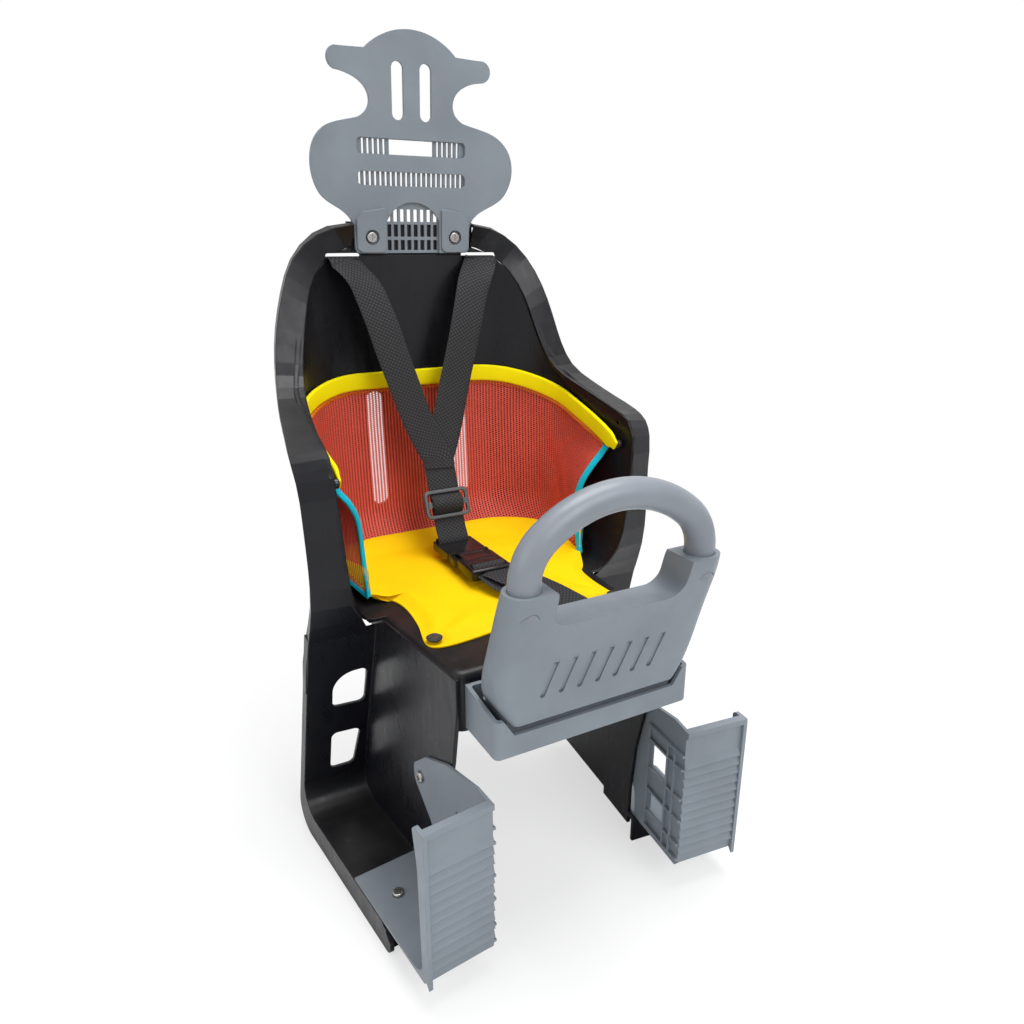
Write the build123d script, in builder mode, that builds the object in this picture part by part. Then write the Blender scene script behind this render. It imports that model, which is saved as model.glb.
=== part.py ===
"""Rear child seat for a bicycle, in millimetres.

+Z is up, the child faces -Y, and X = 0 is the plane of symmetry. The origin lies
on the ground under the middle of the seat's outline.
"""
import os
from math import cos, radians, sin, sqrt

from build123d import *

# Walls and clearances
WALL = 4.0                  # moulded shell
GUARD_WALL = 3.2            # foot guards
CLEAR = 0.3                 # running clearance of soft and plugged pieces

# Heights above the ground
FLOOR_TOP = 30.0            # sole of the foot channels
FLOOR_THICK = 4.0
PAN_TOP = 284.0             # seat pan
BACK_TOP = 664.0            # top edge of the backrest
SLOT_Z = 628.0              # shoulder strap slots

# Foot channels, laid out on a plane that toes in towards the front
TOE_IN = 6.2                # degrees
LEG_X = 106.0               # inner wall at the foot guard's face
LEG_Y = -197.0
LEG_WIDTH = 70.0            # from the inner wall to the outer edge

# Seat pan
PAN_FRONT = -138.0
PAN_REAR = 24.0             # where the pan's own side walls end
PAN_CORNER = 14.0
PAN_EDGE = 9.0
APRON_BOTTOM = 226.0

# Headrest
HEAD_LEAN = 3.5             # degrees, top towards the front
HEAD_PLATE = 4.0
GRILLE_PLATE = 3.0
HEAD_SCREW_X = 50.0
HEAD_SCREW_Z = 648.0
BACK_FACE = 203.0           # front face of the backrest panel

# Handle
TRAY_HALF = 102.5
TRAY_FRONT = -196.0
TRAY_BOTTOM = 229.0
TRAY_TOP = 266.0
TRAY_WALL = 4.0
TUBE_DIA = 26.5
TUBE_X = 86.5
ARCH_RISE = 60.0
ARCH_SPRING = 395.0

# Harness
WEB_WIDTH = 38.0
WEB_THICK = 2.0
SLOT_LONG = WEB_WIDTH + 4.5
SLOT_HIGH = 6.0
SLOT_X = 83.0

# Places where the pieces are fastened
HEAD_SEAT_HALF = 72.0       # seat for the headrest in the top rim
HEAD_SEAT_LOW = -19.0       # its lower edge, measured from the headrest screws
HEAD_SEAT_TOP = 16.0
HEAD_SEAT_ROOT = -48.0      # where it runs out into the backrest
PAD_SCREW_X = 103.0
PAD_SCREW_Y = -73.0
SMALL_HOLE = 4.4
CARRIER_HOLE = 6.6
TRAY_SCREW_X = 60.0
TRAY_SCREW_Z = 248.0
LOBE_D = 124.0              # guard screw in the inner wall
LOBE_Z = 142.5
SOLE_SCREW_E = 43.0         # guard screw in the channel floor
SOLE_SCREW_D = 106.0
WINDOW_CORNER = 7.0

# Fasteners
SCREW_DIA = 6.0
SCREW_HOLE = SCREW_DIA + 0.6
HEAD_DIA = 12.0
HEAD_HIGH = 3.6
NUT_FLATS = 10.0
NUT_HIGH = 5.0
NUT_FIT = 0.1               # round the shank
HEAD_ROUND = 1.6
DRIVE_LONG = 6.4
DRIVE_WIDE = 1.3
DRIVE_DEEP = 1.6

# Headrest, measured from its screws on its own plane
GRILLE_HALF = 66.0
GRILLE_TOP = 104.0
GRILLE_WINDOW = 52.0
GRILLE_GAP = 3.0
GRILLE_PITCH = 6.0
GRILLE_ROWS = [(23.0, 13.0), (7.0, 13.0), (-8.5, 11.0)]
SLOT_UPPER = 92.5
SLOT_LOWER = 60.5
SLOT_ACROSS = 127.0
SLOT_UPPER_HIGH = 16.0
SLOT_LOWER_HIGH = 14.0
PLATE_FOOT = -17.0
PLATE_DOME = [(0.0, 205.0), (51.5, 184.0)]
PLATE_DOME_RADIUS = 74.0       # bulges upwards
PLATE_HORN = [(84.0, 183.0), (92.0, 173.0), (84.6, 162.0)]
PLATE_WAIST = [(84.6, 162.0), (64.0, 157.0), (52.0, 148.0), (48.4, 140.0), (52.0, 126.0), (60.0, 120.0)]
PLATE_WING = [
    (60.0, 120.0),
    (85.0, 114.0),
    (101.0, 107.0),
    (112.0, 95.0),
    (117.3, 75.0),
    (114.0, 55.0),
    (107.0, 43.0),
    (94.6, 34.0),
    (82.0, 27.0),
    (74.0, 20.0),
    (69.5, 10.0),
]
PLATE_NECK = [(69.0, -11.0), (67.4, -15.2), (63.0, PLATE_FOOT)]
SCREW_PAD = [(33.0, 31.0), (60.0, 27.0), (68.0, 19.0), (68.0, -12.0), (62.0, -16.5), (38.0, -16.5), (33.0, -12.0)]
PAD_RISE = 3.0
SINK = 4.0                  # depth of the screws' counterbores
ARCH_HALF = 31.5            # opening in the foot of the plate
ARCH_SIDE = 17.0
ARCH_TOP = 37.0

# Handle body and tray
TRAY_REAR_TOP = 274.0
NOTCH_LOW = 84.0
NOTCH_HIGH = 95.5
NOTCH_Z = 250.0
FOOT_HALF = 90.0
FOOT_DEPTH = 42.0
FOOT_Y = -167.0
HANDLE_SCREW_X = 55.0
HANDLE_SCREW_LONG = 24.0
SLEEVE_DIA = 35.0
SLEEVE_TOP = 390.5
SOCKET_DEEP = 20.5
TUBE_Y = -214.5
ARCH_CORNER = 45.0
OPENING_HALF = 65.0
OPENING_FOOT = 356.0
OPENING_CORNER = 15.0
HANDLE_SECTIONS = [
    (258.0, 86.5, -196.5, -148.0, 8.0),
    (272.0, 94.5, -198.5, -151.0, 9.0),
    (300.0, 102.5, -203.5, -164.0, 11.0),
    (330.0, 105.5, -211.0, -178.0, 13.0),
    (360.0, 105.5, -222.0, -188.0, 15.0),
    (SLEEVE_TOP, 104.0, -232.0, -197.0, 17.0),
]
GROOVE_Y = -204.0
GROOVE_Z = 301.0
GROOVE_LEAN = 11.5
GROOVE_PITCH = 18.4
GROOVE_LONG = 41.0
GROOVE_WIDE = 5.0
GROOVE_DEEP = 1.5
GROOVE_SLANT = 16.0         # degrees, tops to the right

# Foot guards, measured on the planes of the foot channel
GUARD_ACROSS = 69.5
GUARD_TOP = 192.0
GUARD_BEND = 26.0
RIB_COUNT = 11
RIB_TOP = 158.0
RIB_PITCH = 10.3
RIB_RISE = 2.6
FLOOR_PLATE_LONG = 150.0
GUARD_FLANGE = [(-3.5, 28.8), (8.0, 42.0), (9.0, 150.0), (16.0, GUARD_TOP), (-3.5, GUARD_TOP)]
GUARD_WALL_LINE = [
    (0.5, FLOOR_TOP + 4),
    (0.5, GUARD_TOP),
    (22.0, GUARD_TOP + 2),
    (74.0, 186.0),
    (115.0, 170.0),
    (139.0, 150.0),
    (138.0, 132.0),
    (107.0, 101.0),
    (86.0, 60.0),
    (84.0, FLOOR_TOP),
    (4.0, FLOOR_TOP),
]
LOBE_RADIUS = 15.0
GUARD_WINDOWS = [((29.0, 115.0), (58.0, 146.0)), ((28.0, 60.0), (58.0, 85.0))]
GRID_D = [14.0, 26.0, 61.0]
GRID_Z = [39.5, 58.0, 87.0, 113.0, 148.0, 163.7]
GRID_LOW = 38.2
GRID_HIGH = 165.0
GRID_RISE = 3.0

# Bars that keep the straps behind the back and below the pan
KEEPER_LONG = 50.0
KEEPER_THICK = 4.0
KEEPER_HIGH = 9.0
KEEPER_Y = BACK_FACE + WALL + 1.9

# Harness lines: the shoulder straps from their slots, the centre strap, the crotch strap
WEB_LAYER = 1.9             # the straps lie on one another below their crossing
SHOULDER_LINE = [
    ((83.0, KEEPER_Y - CLEAR, 626.6), (1, -0.1, 0), 0),
    ((83.0, 198.0, 626.6), (1, -0.1, 0), 0),
    ((83.0, 192.5, 624.5), (1, -0.1, 0), 0),
    ((81.0, 190.0, 619.0), (1, -0.1, 0.2), 0),
    ((65.6, 178.0, 596.0), (1, 0, 0.4), 0),
    ((54.0, 170.0, 561.0), (1, 0, 0.32), 0.3),
    ((43.6, 166.0, 524.0), (1, 0, 0.3), 0.6),
    ((32.0, 162.0, 485.0), (1, 0, 0.3), 1),
    ((20.0, 156.0, 446.0), (1, 0, 0.25), 1),
    ((9.0, 149.6, 418.0), (1, 0, 0.15), 1),
    ((1.5, 146.4, 404.0), (1, 0, 0.05), 1),
    ((1.5, 143.2, 392.2), (1, 0, 0), 1),
]
CENTRE_LINE = [
    (0.0, 142.2, 390.2),
    (0.0, 132.0, 366.0),
    (0.0, 119.5, 334.0),
    (0.0, 111.5, 319.0),
    (0.0, 107.8, 313.0),
    (0.0, 106.2, 308.0),
    (0.0, 106.0, 303.0),
    (0.0, 106.0, 299.0),
]
SLIDE_WIDE = 56.0
SLIDE_HIGH = 34.0
SLIDE_THICK = 3.4
BUCKLE = Plane(origin=(0, 0, 305.0), x_dir=(1, 0, 0), z_dir=(0, 0, 1))
BUCKLE_WIDE = 48.0
BUCKLE_THICK = 13.0
TONGUE_BACK = 115.0
TONGUE_LONG = 46.0
TONGUE_THICK = 8.0
PRONG_LONG = 20.0
PRONG_THICK = 5.0
SOCKET_BACK = 68.7
SOCKET_LONG = 62.0
CROTCH_LINE = [
    (0.0, 26.0, 313.0),
    (1.0, 5.0, 313.0),
    (1.5, -1.0, 311.0),
    (2.0, -8.0, 307.0),
    (4.0, -30.0, 297.5),
    (7.0, -70.0, 293.5),
    (9.0, -98.0, 293.0),
    (10.0, -108.0, 291.0),
    (10.0, -112.0, 286.0),
    (10.0, -112.0, 280.0),
]

# Seat pad
PAD_NEAR = 0.6              # gap to the bucket
MESH_THICK = 2.5
BINDING_THICK = 4.4
BINDING_HIGH = 15.0
PIPING_THICK = 4.4
PIPING_WIDE = 6.0
PAD_LOW = 288.0
PAD_TOP_LINE = [(14.0, 455.0), (60.0, 460.5), (100.0, 466.0), (120.0, 470.0), (145.0, 480.0), (163.0, 490.0), (180.0, 498.0), (208.0, 503.0)]
PAD_SIDE_LINE = [(14.0, 439.0), (24.0, 426.0), (38.0, 405.0), (50.0, 370.0), (48.0, 330.0), (38.0, PAD_LOW)]
PAD_SEAT_HALF = 122.0
PAD_SEAT_BACK = 134.0
PAD_SEAT_THICK = 5.0
PAD_FRONT_LINE = [(120.0, -30.0), (112.0, -72.0), (103.0, -82.0), (93.0, -70.0), (70.0, -66.0), (40.0, -70.0), (0.0, -64.0)]
PAD_SCREW_DIA = 3.8
PAD_SCREW_HEAD = 12.0
PAD_SCREW_LONG = 14.0
BUTTON_SPOT = (22.0, 449.0)
BUTTON_DIA = 13.0
BUTTON_STEM = 4.0
BUTTON_X = 161.8
BUTTON_REACH = 10.4

# The values above and below measure Y from the middle of the seat pan's rear third;
# the origin lies under the middle of the whole outline.
MIDDLE_Y = 9.17

os.makedirs("parts", exist_ok=True)


def finish(builder, name):
    """Move a finished piece into the part's frame, label it and write it."""
    piece = builder.part.moved(Location((0, MIDDLE_Y, 0)))
    piece.label = name
    export_step(piece, f"parts/{name}.step")


# Planes of the right foot channel: e outwards, d backwards
E_DIR = Vector(cos(radians(TOE_IN)), -sin(radians(TOE_IN)), 0)
D_DIR = Vector(sin(radians(TOE_IN)), cos(radians(TOE_IN)), 0)
LEG = Plane(origin=(LEG_X, LEG_Y, 0), x_dir=E_DIR, z_dir=(0, 0, 1))


def leg_wall(e):
    """Plane along the channel at e from the inner wall; sketch axes are d and z."""
    return Plane(origin=LEG.from_local_coords((e, 0, 0)), x_dir=D_DIR, z_dir=E_DIR)


def leg_face(d):
    """Plane across the channel at d from the guard's face; sketch axes are e and z."""
    return Plane(origin=LEG.from_local_coords((0, d, 0)), x_dir=E_DIR, z_dir=D_DIR * -1)


# Plane of the headrest, through its screws: x across, y up along it
HEAD = Plane(
    origin=(0, BACK_FACE, HEAD_SCREW_Z),
    x_dir=(1, 0, 0),
    z_dir=(0, -cos(radians(HEAD_LEAN)), -sin(radians(HEAD_LEAN))),
)

# Bucket of the seat, as level sections above the pan
BUCKET_FRONT = -60.0        # open front end of every section
BACK_FILLET = 58.0          # between the pan and the backrest
SIDE_ROUND = 20.0           # how far the side walls bend in at the pan
SIDE_ROUND_HIGH = 60.0
BACK_LOW = 194.0            # place of the backrest at the pan
BACK_UPRIGHT = 156.0        # height above the pan where the backrest stands upright
SIDE_HALF = 160.0           # half width between the arms, straightened down to the pan
SIDE_FLARE = 0.07           # how fast the arms spread
BACK_TAPER = 11.0           # how much narrower the bucket is at its back
CORNER_LOW = 82.0
CORNER_HIGH = 95.0
BUCKET_RISES = [0, 1, 3, 6, 10, 14, 20, 28, 38, 50, 70, 100, BACK_UPRIGHT, 206, 300, 400]


def rounding(radius, rise):
    """How far a quarter round of this radius stands in at a given rise."""
    below = max(0.0, radius - rise)
    return radius - sqrt(radius**2 - below**2)


def bucket_sizes(rise):
    """Half widths at the front and back, back face and corner radius at a rise."""
    share = min(1.0, rise / BACK_UPRIGHT)
    bend = rounding(1.0, rise / SIDE_ROUND_HIGH) * SIDE_ROUND
    front = SIDE_HALF + SIDE_FLARE * min(rise, BACK_UPRIGHT) - bend
    depth = BACK_LOW + (BACK_FACE - BACK_LOW) * share - rounding(BACK_FILLET, rise)
    corner = CORNER_LOW + (CORNER_HIGH - CORNER_LOW) * share
    return front, front - BACK_TAPER, depth, corner


def bucket_solid(grow, drop=0.0):
    """Closed form of the bucket, grown all round; drop lowers its bottom section."""
    with BuildPart(mode=Mode.PRIVATE) as form:
        for rise in BUCKET_RISES:
            front, back, depth, corner = bucket_sizes(rise)
            lowered = drop if rise == 0 else 0.0
            with BuildSketch(Plane.XY.offset(PAN_TOP + rise - lowered)):
                with BuildLine():
                    Polyline(
                        (-front - grow, BUCKET_FRONT),
                        (front + grow, BUCKET_FRONT),
                        (back + grow, depth + grow),
                        (-back - grow, depth + grow),
                        close=True,
                    )
                make_face()
                fillet(vertices().group_by(Axis.Y)[-1], corner + grow)
        loft(ruled=True)
    return form.part


def side_prism(points, half=320.0):
    """Prism across the whole seat from a closed side outline of (y, z) points."""
    with BuildPart(mode=Mode.PRIVATE) as prism:
        with BuildSketch(Plane.YZ):
            with BuildLine():
                Polyline(*points, close=True)
            make_face()
        extrude(amount=half, both=True)
    return prism.part


# Rim of the shell: stations from the top of the back down to the foot channel.
# Each has its inner edge, its outer edge and the way its thickness runs.
RIM_DEPTH = 11.0
RIM_STATIONS = [
    ((0.0, 200.0, 645.0), (0.0, 188.0, 664.0), (0, 0.85, -0.5)),
    ((62.0, 200.0, 641.0), (76.0, 186.0, 660.0), (-0.1, 0.85, -0.5)),
    ((98.0, 197.0, 629.0), (113.0, 190.0, 650.0), (-0.2, 0.9, -0.35)),
    ((121.0, 187.0, 608.0), (142.0, 187.0, 625.0), (-0.2, 0.95, -0.2)),
    ((134.0, 175.0, 580.0), (158.0, 176.0, 593.0), (-0.1, 1, -0.1)),
    ((142.0, 166.0, 550.0), (169.0, 168.0, 558.0), (0, 1, -0.1)),
    ((149.0, 154.0, 520.0), (176.0, 157.0, 524.0), (0, 1, -0.3)),
    ((154.0, 136.0, 499.0), (181.0, 139.0, 500.0), (0, 0.7, -0.7)),
    ((160.0, 104.0, 485.0), (188.0, 107.0, 484.0), (0, 0.3, -1)),
    ((166.0, 60.0, 472.0), (195.0, 64.0, 470.0), (0, 0.25, -1)),
    ((169.0, 26.0, 463.0), (200.0, 32.0, 460.0), (0, 0.4, -1)),
    ((171.0, 4.0, 455.0), (202.0, 15.0, 450.0), (-0.2, 1, -0.9)),
    ((170.5, -6.0, 438.0), (201.0, 5.0, 434.0), (-0.4, 1, -0.2)),
    ((168.0, -9.0, 400.0), (199.0, 2.0, 398.0), (-0.4, 1, 0)),
    ((164.0, -8.0, 350.0), (198.0, 0.0, 350.0), (-0.3, 1, 0)),
    ((157.0, -4.0, 307.0), (198.0, 4.0, 305.0), (-0.2, 1, 0.1)),
    ((138.0, 19.0, 264.0), (200.0, 19.7, 262.0), (-0.02, 1, 0.27)),
    ((131.0, 36.9, 200.0), (203.0, 37.0, 199.0), (0, 1, 0.277)),
]

# Leg wall behind each calf, as a side line that runs on into the channel's floor
CALF_TOP = (18.0, 268.0)
CALF_FOOT = (84.0, FLOOR_TOP)
CALF_BEND = 28.0
CHANNEL_FRONT = -117.0      # front end of the moulded floor
HEEL_BEND = 30.0            # lower back corner of the outer flange
FRONT_BEND = 9.0            # its lower front corner

# Openings in the shell
WINDOW_HIGH = [(139.0, 168.0), (174.5, 170.0), (174.5, 214.0), (137.0, 216.0)]
WINDOW_ROUND = 24.0         # outer top corner of the upper window
WINDOW_LOW = [(149.0, 76.0), (176.0, 76.0), (175.0, 131.0), (142.0, 129.0)]
BACK_SLOT_X = 55.0
BACK_SLOT_WIDE = 21.0
BACK_SLOT_LOW = 338.0
BACK_SLOT_TOP = 476.0
CROTCH_SLOT = (10.0, -112.0)
CARRIER_X = 40.0
CARRIER_Y = (-50.0, 70.0)
BOSS_DIA = 18.0
RIB_DEEP = 18.0
RIB_THICK = 3.0


def rim_plane(inner, outer, away):
    """Plane of one rim station: x towards the outer edge, y through the thickness."""
    run = (Vector(*outer) - Vector(*inner)).normalized()
    thick = Vector(*away)
    thick = (thick - run * thick.dot(run)).normalized()
    return Plane(origin=inner, x_dir=run, z_dir=run.cross(thick))


def smooth_stations(stations, steps=2):
    """Stations along smooth curves through the given ones, steps to each span."""
    inner_edge = Spline(*[inner for inner, outer, away in stations])
    outer_edge = Spline(*[outer for inner, outer, away in stations])
    result = []
    for index in range((len(stations) - 1) * steps + 1):
        span, part = divmod(index, steps)
        low = stations[span]
        high = stations[min(span + 1, len(stations) - 1)]
        share = part / steps
        inner = low[0] if part == 0 else nearest_share(inner_edge, low[0], high[0], share)
        outer = low[1] if part == 0 else nearest_share(outer_edge, low[1], high[1], share)
        away = Vector(*low[2]) * (1 - share) + Vector(*high[2]) * share
        result.append((inner, outer, away))
    return result


def nearest_share(curve, low, high, share):
    """Point a share of the way along a curve between two points on it."""
    start = curve.param_at_point(Vector(*low))
    end = curve.param_at_point(Vector(*high))
    return tuple(curve.position_at(start + (end - start) * share))


with BuildPart() as rim:
    for inner, outer, away in smooth_stations(RIM_STATIONS):
        width = (Vector(*outer) - Vector(*inner)).length
        with BuildSketch(rim_plane(inner, outer, away)):
            with BuildLine():
                Polyline(
                    (-1.0, 0),
                    (width, 0),
                    (width, RIM_DEPTH),
                    (width - WALL, RIM_DEPTH),
                    (width - WALL, WALL),
                    (-1.0, WALL),
                    close=True,
                )
            make_face()
    loft(ruled=True)

with BuildPart() as channel_space:
    with BuildSketch(LEG):
        with Locations(((LEG_WIDTH - WALL) / 2, 160.0)):
            Rectangle(LEG_WIDTH + WALL, 380.0)
    extrude(amount=PAN_TOP - 6)

with BuildPart() as flange_space:
    with BuildSketch(LEG):
        with Locations((LEG_WIDTH - WALL / 2, 160.0)):
            Rectangle(WALL, 380.0)
    extrude(amount=PAN_TOP - 6)

with BuildPart() as calf_wall:
    with BuildSketch(Plane.YZ):
        with BuildLine():
            FilletPolyline(CALF_TOP, CALF_FOOT, (CHANNEL_FRONT, FLOOR_TOP), radius=CALF_BEND)
            offset(amount=WALL, side=Side.LEFT)
        make_face()
    extrude(amount=230.0)
    add(channel_space.part, mode=Mode.INTERSECT)


# Outer flange: the turned edge behind the calf wall and the apron below the floor
with BuildPart() as outer_flange:
    with BuildSketch(Plane.YZ):
        with BuildLine() as flange_line:
            back_run = Vector(CALF_FOOT[0] - CALF_TOP[0], CALF_FOOT[1] - CALF_TOP[1])
            back_out = Vector(-back_run.Y, back_run.X).normalized() * RIM_DEPTH
            heel = Vector(CALF_FOOT[0], CALF_FOOT[1]) + back_out
            toe = heel + back_run * (heel.Y / -back_run.Y)
            FilletPolyline(
                (CALF_TOP[0] + back_out.X, CALF_TOP[1] + back_out.Y),
                (toe.X, 0.0),
                (CHANNEL_FRONT - 16.0, 0.0),
                (CHANNEL_FRONT - 16.0, 14.0),
                radius=[HEEL_BEND, FRONT_BEND],
            )
            FilletPolyline(
                CALF_TOP, CALF_FOOT, (CHANNEL_FRONT, FLOOR_TOP), radius=CALF_BEND
            )
            Line((CALF_TOP[0] + back_out.X, CALF_TOP[1] + back_out.Y), CALF_TOP)
            Line((CHANNEL_FRONT, FLOOR_TOP), (CHANNEL_FRONT - 16.0, 14.0))
        make_face()
    extrude(amount=230.0)
    add(flange_space.part, mode=Mode.INTERSECT)

# Inner wall of the channel, which is also the side of the seat pan
with BuildPart() as inner_wall:
    with BuildSketch(leg_wall(-WALL)):
        with BuildLine():
            Polyline(
                (57.0, PAN_TOP - 3),
                (57.0, 250.0),
                (67.0, 189.0),
                (85.0, 120.0),
                (92.0, 60.0),
                (92.0, 16.0),
                (148.0, 16.0),
                (148.0, FLOOR_TOP - FLOOR_THICK),
                (262.0, FLOOR_TOP - FLOOR_THICK),
                (281.0, 46.0),
                (228.0, 226.0),
                (228.0, PAN_TOP - 3),
                close=True,
            )
        make_face()
    extrude(amount=WALL)

# Front lip below the floor
with BuildPart() as front_lip:
    with BuildSketch(leg_face(80.0)):
        with Locations(((LEG_WIDTH - WALL) / 2, (FLOOR_TOP - FLOOR_THICK) / 2)):
            Rectangle(LEG_WIDTH + WALL, FLOOR_TOP - FLOOR_THICK)
    extrude(amount=-WALL)

with BuildPart() as pan_box:
    with BuildSketch(Plane.XY.offset(APRON_BOTTOM)) as pan_plan:
        side = (PAN_FRONT - LEG_Y) * sin(radians(TOE_IN)) / cos(radians(TOE_IN))
        rear = (PAN_REAR - LEG_Y) * sin(radians(TOE_IN)) / cos(radians(TOE_IN))
        with BuildLine():
            Polyline(
                (-LEG_X - side, PAN_FRONT),
                (LEG_X + side, PAN_FRONT),
                (LEG_X + rear, PAN_REAR),
                (-LEG_X - rear, PAN_REAR),
                close=True,
            )
        make_face()
        fillet(vertices().group_by(Axis.Y)[0], PAN_CORNER)
    extrude(amount=PAN_TOP - APRON_BOTTOM)
    fillet(
        faces().sort_by(Axis.Z)[-1].edges().filter_by(
            lambda edge: edge.center().Y < PAN_REAR - 1
        ),
        PAN_EDGE,
    )
    with BuildSketch(Plane.XY.offset(APRON_BOTTOM)):
        add(pan_plan.sketch.faces()[0].moved(Location((0, 0, 0))))
        offset(amount=-WALL, mode=Mode.REPLACE)
    extrude(amount=PAN_TOP - APRON_BOTTOM - WALL, mode=Mode.SUBTRACT)

bucket_limit = [(inner[1], inner[2]) for inner, outer, away in RIM_STATIONS[:-2]]
bucket_limit = bucket_limit[1:] + [(10.0, 262.0), (260.0, 262.0), (260.0, 720.0)]
bucket_limit += [(RIM_STATIONS[0][0][1], 720.0)]

# Stiffening ribs and the bolt bosses for the carrier, below the pan
with BuildPart() as pan_ribs:
    with BuildSketch(Plane.XY.offset(PAN_TOP - WALL)):
        with Locations(*[(x, (PAN_FRONT + 110.0) / 2) for x in (-CARRIER_X, CARRIER_X)]):
            Rectangle(RIB_THICK, 110.0 - PAN_FRONT - 2 * WALL)
        for y in (CARRIER_Y[0], (CARRIER_Y[0] + CARRIER_Y[1]) / 2):
            with Locations((0, y)):
                Rectangle(2 * (LEG_X + 4.0), RIB_THICK)
        with Locations((0, CARRIER_Y[1])):
            Rectangle(2 * (LEG_X + 10.0), RIB_THICK)
        with Locations(*[(x, y) for x in (-CARRIER_X, CARRIER_X) for y in CARRIER_Y]):
            Circle(BOSS_DIA / 2)
    extrude(amount=-RIB_DEEP)

with BuildPart() as seat_shell:
    add(bucket_solid(WALL, WALL))
    add(bucket_solid(0.0), mode=Mode.SUBTRACT)
    add(side_prism(bucket_limit), mode=Mode.INTERSECT)
    with BuildSketch(Plane.XZ.offset(-300)):
        with BuildLine():
            crown = [(inner[0], inner[2]) for inner, outer, away in RIM_STATIONS[:6]]
            Polyline(
                *crown,
                (260, 550),
                (260, 760),
                (-260, 760),
                (-260, 550),
                *[(-x, z) for x, z in reversed(crown)],
            )
        make_face()
    extrude(amount=400, mode=Mode.SUBTRACT)
    for half in (rim.part, calf_wall.part, outer_flange.part, inner_wall.part, front_lip.part):
        add(half)
        add(half.mirror(Plane.YZ))
    add(pan_box.part)
    add(pan_ribs.part)
    # leaning seat for the headrest at the top of the back
    with BuildSketch(HEAD):
        with Locations((0, (HEAD_SEAT_TOP + HEAD_SEAT_ROOT) / 2)):
            Rectangle(2 * (HEAD_SEAT_HALF + WALL), HEAD_SEAT_TOP - HEAD_SEAT_ROOT)
    extrude(amount=-WALL)
    with BuildSketch(HEAD):
        with Locations((0, HEAD_SEAT_TOP)):
            Rectangle(2 * HEAD_SEAT_HALF, 2 * (HEAD_SEAT_TOP - HEAD_SEAT_LOW))
    extrude(amount=60.0, mode=Mode.SUBTRACT)
    # windows in the calf walls
    with BuildSketch(Plane.XZ.offset(-120.0)):
        for outline in (WINDOW_HIGH, WINDOW_LOW):
            with BuildLine():
                Polyline(*outline, close=True)
            make_face()
        corners = vertices().sort_by(lambda corner: corner.X + corner.Y)
        fillet(corners[:-1], WINDOW_CORNER)
        fillet(vertices().sort_by(lambda corner: corner.X + corner.Y)[-1], WINDOW_ROUND)
        mirror(about=Plane.YZ)
    extrude(amount=140.0, mode=Mode.SUBTRACT)
    # slots for the shoulder straps and the two tall slots in the backrest
    with BuildSketch(Plane.XZ.offset(-BACK_FACE + 20)):
        with Locations((SLOT_X, SLOT_Z), (-SLOT_X, SLOT_Z)):
            SlotOverall(SLOT_LONG, SLOT_HIGH)
        with Locations(
            (BACK_SLOT_X, (BACK_SLOT_LOW + BACK_SLOT_TOP) / 2),
            (-BACK_SLOT_X, (BACK_SLOT_LOW + BACK_SLOT_TOP) / 2),
        ):
            SlotOverall(BACK_SLOT_TOP - BACK_SLOT_LOW, BACK_SLOT_WIDE, rotation=90)
    extrude(amount=-80.0, mode=Mode.SUBTRACT)
    with BuildSketch(HEAD.offset(5.0)):
        with Locations((HEAD_SCREW_X, 0), (-HEAD_SCREW_X, 0)):
            Circle(SCREW_HOLE / 2)
    extrude(amount=-20.0, mode=Mode.SUBTRACT)
    # crotch strap slot, pad screws and carrier bolts through the pan
    with BuildSketch(Plane.XY.offset(PAN_TOP + 1)):
        with Locations(CROTCH_SLOT):
            SlotOverall(SLOT_LONG, SLOT_HIGH)
        with Locations((PAD_SCREW_X, PAD_SCREW_Y), (-PAD_SCREW_X, PAD_SCREW_Y)):
            Circle(SMALL_HOLE / 2)
    extrude(amount=-40.0, mode=Mode.SUBTRACT)
    with BuildSketch(Plane.XY.offset(PAN_TOP - WALL - RIB_DEEP)):
        with Locations(*[(x, y) for x in (-CARRIER_X, CARRIER_X) for y in CARRIER_Y]):
            Circle(CARRIER_HOLE / 2)
    extrude(amount=RIB_DEEP, mode=Mode.SUBTRACT)
    # holes for the stems of the pad's buttons
    with BuildSketch(Plane.YZ):
        with Locations(BUTTON_SPOT):
            Circle(BUTTON_STEM / 2 + CLEAR)
    extrude(amount=300.0, both=True, mode=Mode.SUBTRACT)
    # tray screws through the apron
    with BuildSketch(Plane.XZ.offset(-PAN_FRONT + 10)):
        with Locations((TRAY_SCREW_X, TRAY_SCREW_Z), (-TRAY_SCREW_X, TRAY_SCREW_Z)):
            Circle(SCREW_HOLE / 2)
    extrude(amount=-30.0, mode=Mode.SUBTRACT)
    # guard screws through the inner walls and the channel floors
    with BuildSketch(leg_wall(2.0)):
        with Locations((LOBE_D, LOBE_Z)):
            Circle(SCREW_HOLE / 2)
    lobe_hole = extrude(amount=-12.0, mode=Mode.SUBTRACT)
    with BuildSketch(LEG.offset(FLOOR_TOP + 5)):
        with Locations((SOLE_SCREW_E, SOLE_SCREW_D)):
            Circle(SCREW_HOLE / 2)
    sole_hole = extrude(amount=-14.0, mode=Mode.SUBTRACT)
    mirror(objects=lobe_hole + sole_hole, about=Plane.YZ, mode=Mode.SUBTRACT)
finish(seat_shell, "seat_shell")


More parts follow.
